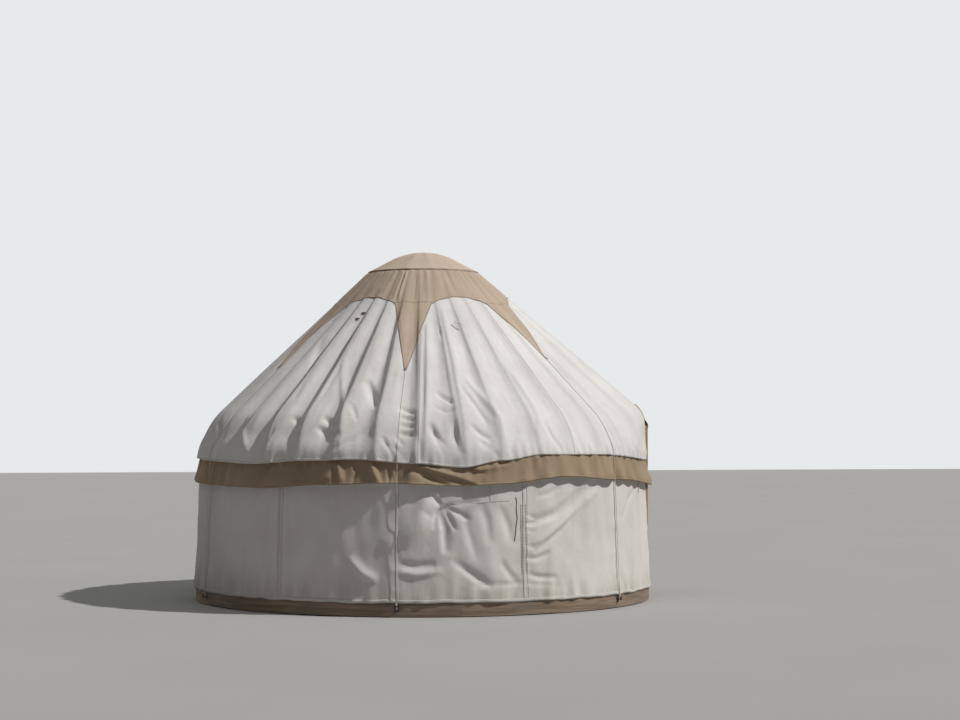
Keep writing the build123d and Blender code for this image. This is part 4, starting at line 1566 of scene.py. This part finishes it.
def make_pins():
    """A domed pin where two laths cross, outside and inside."""
    lowest = DECK_TOP + 0.06
    rows, row_height = 7, 1.3 / 6
    lath = 0.012
    flat_reach = 2.398
    corner_reach = flat_reach / cos(radians(POLE_PITCH / 2))
    pattern = shape(
        bpy.ops.mesh.primitive_uv_sphere_add, segments=8, ring_count=4, radius=0.0085
    )
    pattern.scale = (1, 0.5, 1)
    settle(pattern)
    source = np.array([vertex.co for vertex in pattern.data.vertices])
    faces = [tuple(face.vertices) for face in pattern.data.polygons]
    bpy.data.objects.remove(pattern)
    points, polygons = [], []
    for bearing in range(15, 346, POLE_PITCH // 2):
        on_corner = bearing % POLE_PITCH != 0
        reach = corner_reach if on_corner else flat_reach
        turn = radians(bearing)
        spin = np.array([[cos(turn), sin(turn), 0], [-sin(turn), cos(turn), 0], [0, 0, 1]])
        for row in range(1 if on_corner else 0, rows, 2):
            for out in (reach + lath, reach - lath):
                height = lowest + row_height * row
                place = np.array([sin(turn) * out, -cos(turn) * out, height])
                base = len(points) * len(source)
                points.append(source @ spin + place)
                polygons += [tuple(corner + base for corner in face) for face in faces]
    mesh = bpy.data.meshes.new("lattice_pins")
    mesh.from_pydata(np.concatenate(points).tolist(), [], polygons)
    pins = bpy.data.objects.new("lattice_pins", mesh)
    bpy.context.scene.collection.objects.link(pins)
    mesh.polygons.foreach_set("use_smooth", [True] * len(mesh.polygons))
    return pins


# Putting it together


def dress(thing, material, nodes=()):
    """Give a piece its material and its body, and hide the nodes that it stands for."""
    thing.data.materials.clear()
    thing.data.materials.append(material)
    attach(thing, "root")
    if nodes:
        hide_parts(*nodes)


def make_stage():
    """The floor, which isn't part of the yurt."""
    floor = shape(bpy.ops.mesh.primitive_plane_add, size=120)
    floor.name = "stage_floor"
    floor.data.materials.append(stage_finish())


def make_finishes():
    """The materials, by the names that dress_covers, dress_fittings and dress_timber use."""
    ash, ash_dark = (0.60, 0.42, 0.23), (0.42, 0.26, 0.125)
    frame, frame_dark = (0.50, 0.35, 0.20), (0.33, 0.21, 0.11)
    return {
        "cream": canvas_finish(
            "cream_canvas", (0.735, 0.722, 0.697), (0.655, 0.64, 0.615), (0.42, 0.395, 0.35)
        ),
        "wall": canvas_finish(
            "wall_canvas", (0.72, 0.70, 0.66), (0.65, 0.62, 0.58), (0.40, 0.36, 0.29),
            grime_top=0.12, grime_reach=0.35,
        ),
        "taupe": canvas_finish(
            "taupe_canvas", (0.35, 0.262, 0.172), (0.285, 0.21, 0.136), (0.175, 0.132, 0.09)
        ),
        "cap": canvas_finish(
            "cap_canvas", (0.50, 0.40, 0.305), (0.44, 0.348, 0.262), (0.30, 0.235, 0.17)
        ),
        # The dome is the cap's canvas made about a fifth brighter: painted light for the stronger
        # light on the cap's top
        "dome": canvas_finish(
            "dome_canvas", (0.60, 0.49, 0.385), (0.53, 0.43, 0.335), (0.36, 0.29, 0.22)
        ),
        "cream_seam": seam_finish("cream_seam", (0.65, 0.635, 0.605), (0.50, 0.475, 0.43)),
        "wall_seam": seam_finish("wall_seam", (0.62, 0.595, 0.55), (0.46, 0.42, 0.37)),
        "taupe_seam": seam_finish("taupe_seam", (0.36, 0.26, 0.165), (0.20, 0.14, 0.09)),
        "cap_seam": seam_finish("cap_seam", (0.43, 0.345, 0.26), (0.26, 0.205, 0.15)),
        # Each cord's second tone is painted shade for the grooves between its strands
        "rope": rope_finish("tie_rope", (0.70, 0.66, 0.60), (0.48, 0.44, 0.38)),
        "dark_cord": rope_finish("dark_cord", (0.16, 0.13, 0.10), (0.06, 0.05, 0.04)),
        "iron": iron_finish(),
        "webbing": webbing_finish(),
        "deck": timber_finish(
            "deck_boards", (0.37, 0.29, 0.21), (0.23, 0.17, 0.115), "x", 30.0, 0.75, 0.5
        ),
        "rim": timber_finish(
            "rim_boards", (0.30, 0.22, 0.155), (0.17, 0.12, 0.08), "round", 30.0, 0.78, 0.6
        ),
        "joists": timber_finish(
            "joists", (0.42, 0.32, 0.21), (0.27, 0.19, 0.12), "y", 24.0, 0.75, 0.3
        ),
        "laths": lattice_finish(),
        "poles": timber_finish("ash_poles", ash, ash_dark, "down", 26.0, 0.58),
        "crown": timber_finish(
            "ash_crown", (0.58, 0.40, 0.22), (0.40, 0.245, 0.115), "round", 26.0, 0.55
        ),
        "arches": timber_finish("ash_arches", ash, ash_dark, "x", 26.0, 0.55),
        "jambs": timber_finish("door_jambs", frame, frame_dark, "z", 24.0, 0.6),
        "lintel": timber_finish("door_lintel", frame, frame_dark, "x", 24.0, 0.6),
        "toggles": timber_finish(
            "toggle_wood", (0.20, 0.12, 0.07), (0.10, 0.06, 0.035), "x", 60.0, 0.5
        ),
    }


def dress_covers(finish):
    """The sheets of canvas, what is sewn on them, and what each sheet was cut to."""
    cream, wall, taupe = finish["cream"], finish["wall"], finish["taupe"]
    taupe_seam = finish["taupe_seam"]

    left, right = make_roof()
    nodes = ["roof_canvas_left", "roof_canvas_left_front", "roof_canvas_back"]
    dress(left, cream, nodes)
    nodes = ["roof_canvas_right", "roof_canvas_right_front", "roof_canvas_door"]
    dress(right, cream, nodes)
    seams = make_roof_seams()
    dress(seams, finish["cream_seam"])

    left, right = make_wall()
    dress(left, wall, [f"wall_canvas_{number}" for number in range(7, 12)])
    dress(right, wall, [f"wall_canvas_{number}" for number in range(1, 7)])
    seams = make_wall_seams()
    dress(seams, finish["wall_seam"])

    left, right = make_valance()
    dress(left, taupe, ["valance_left"])
    dress(right, taupe, ["valance_right"])
    hems = make_valance_hem()
    dress(hems, taupe_seam)

    star = make_star()
    dress(star, finish["cap"], ["crown_cap_star"])
    seams = make_star_seams()
    dress(seams, finish["cap_seam"])
    dome, seam = make_dome()
    # Its material is painted light: the cap's canvas, made brighter
    dress(dome, finish["dome"], ["crown_cap_dome"])
    dress(seam, finish["cap_seam"])

    pelmet, hems = make_pelmet()
    dress(pelmet, taupe, ["door_pelmet"])
    dress(hems, taupe_seam)
    flap, tapes = make_flap()
    dress(flap, cream, ["door_flap_roll"])
    dress(tapes, taupe_seam)


def dress_fittings(finish):
    """The tie ropes, the lacing and the small fittings."""
    dress(make_ropes(), finish["rope"], ["tie_ropes"])
    rings, ties = make_tip_rings()
    dress(rings, finish["iron"])
    dress(ties, finish["rope"])
    lacing, eyelets = make_lacing()
    dress(lacing, finish["rope"])
    dress(eyelets, finish["rope"])
    tape, straps = make_loose_ties()
    dress(tape, finish["dark_cord"])
    dress(straps, finish["taupe_seam"])
    toggles, loops = make_toggles()
    dress(toggles, finish["toggles"])
    dress(loops, finish["dark_cord"])


def dress_timber(finish):
    """The platform, the frame and the band round it."""
    dress(make_deck(), finish["deck"], ["floor_deck"])
    dress(make_rim_joints(), finish["joists"])
    dress(make_band(), finish["webbing"], ["tension_band"])
    dress(make_pins(), finish["iron"])
    finish_nodes({
        "lattice_panel": finish["laths"],
        "poles": finish["poles"],
        "crown_rim": finish["crown"],
        "crown_arches": finish["arches"],
        "door_jambs": finish["jambs"],
        "door_lintel": finish["lintel"],
        "door_threshold": finish["lintel"],
        "platform_rim": finish["rim"],
        "platform_joists": finish["joists"],
        "rope_hooks": finish["iron"],
    })


def finish_nodes(finishes):
    """Give the solids that still show their materials, by what is in their names."""
    for thing in bpy.data.objects:
        if "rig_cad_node" not in thing or thing.hide_render:
            continue
        for name, material in finishes.items():
            if name in thing.name:
                thing.data.materials.clear()
                thing.data.materials.append(material)
                smooth(thing, 30)


place_camera()
light_scene()
make_stage()
materials = make_finishes()
dress_covers(materials)
dress_fittings(materials)
dress_timber(materials)
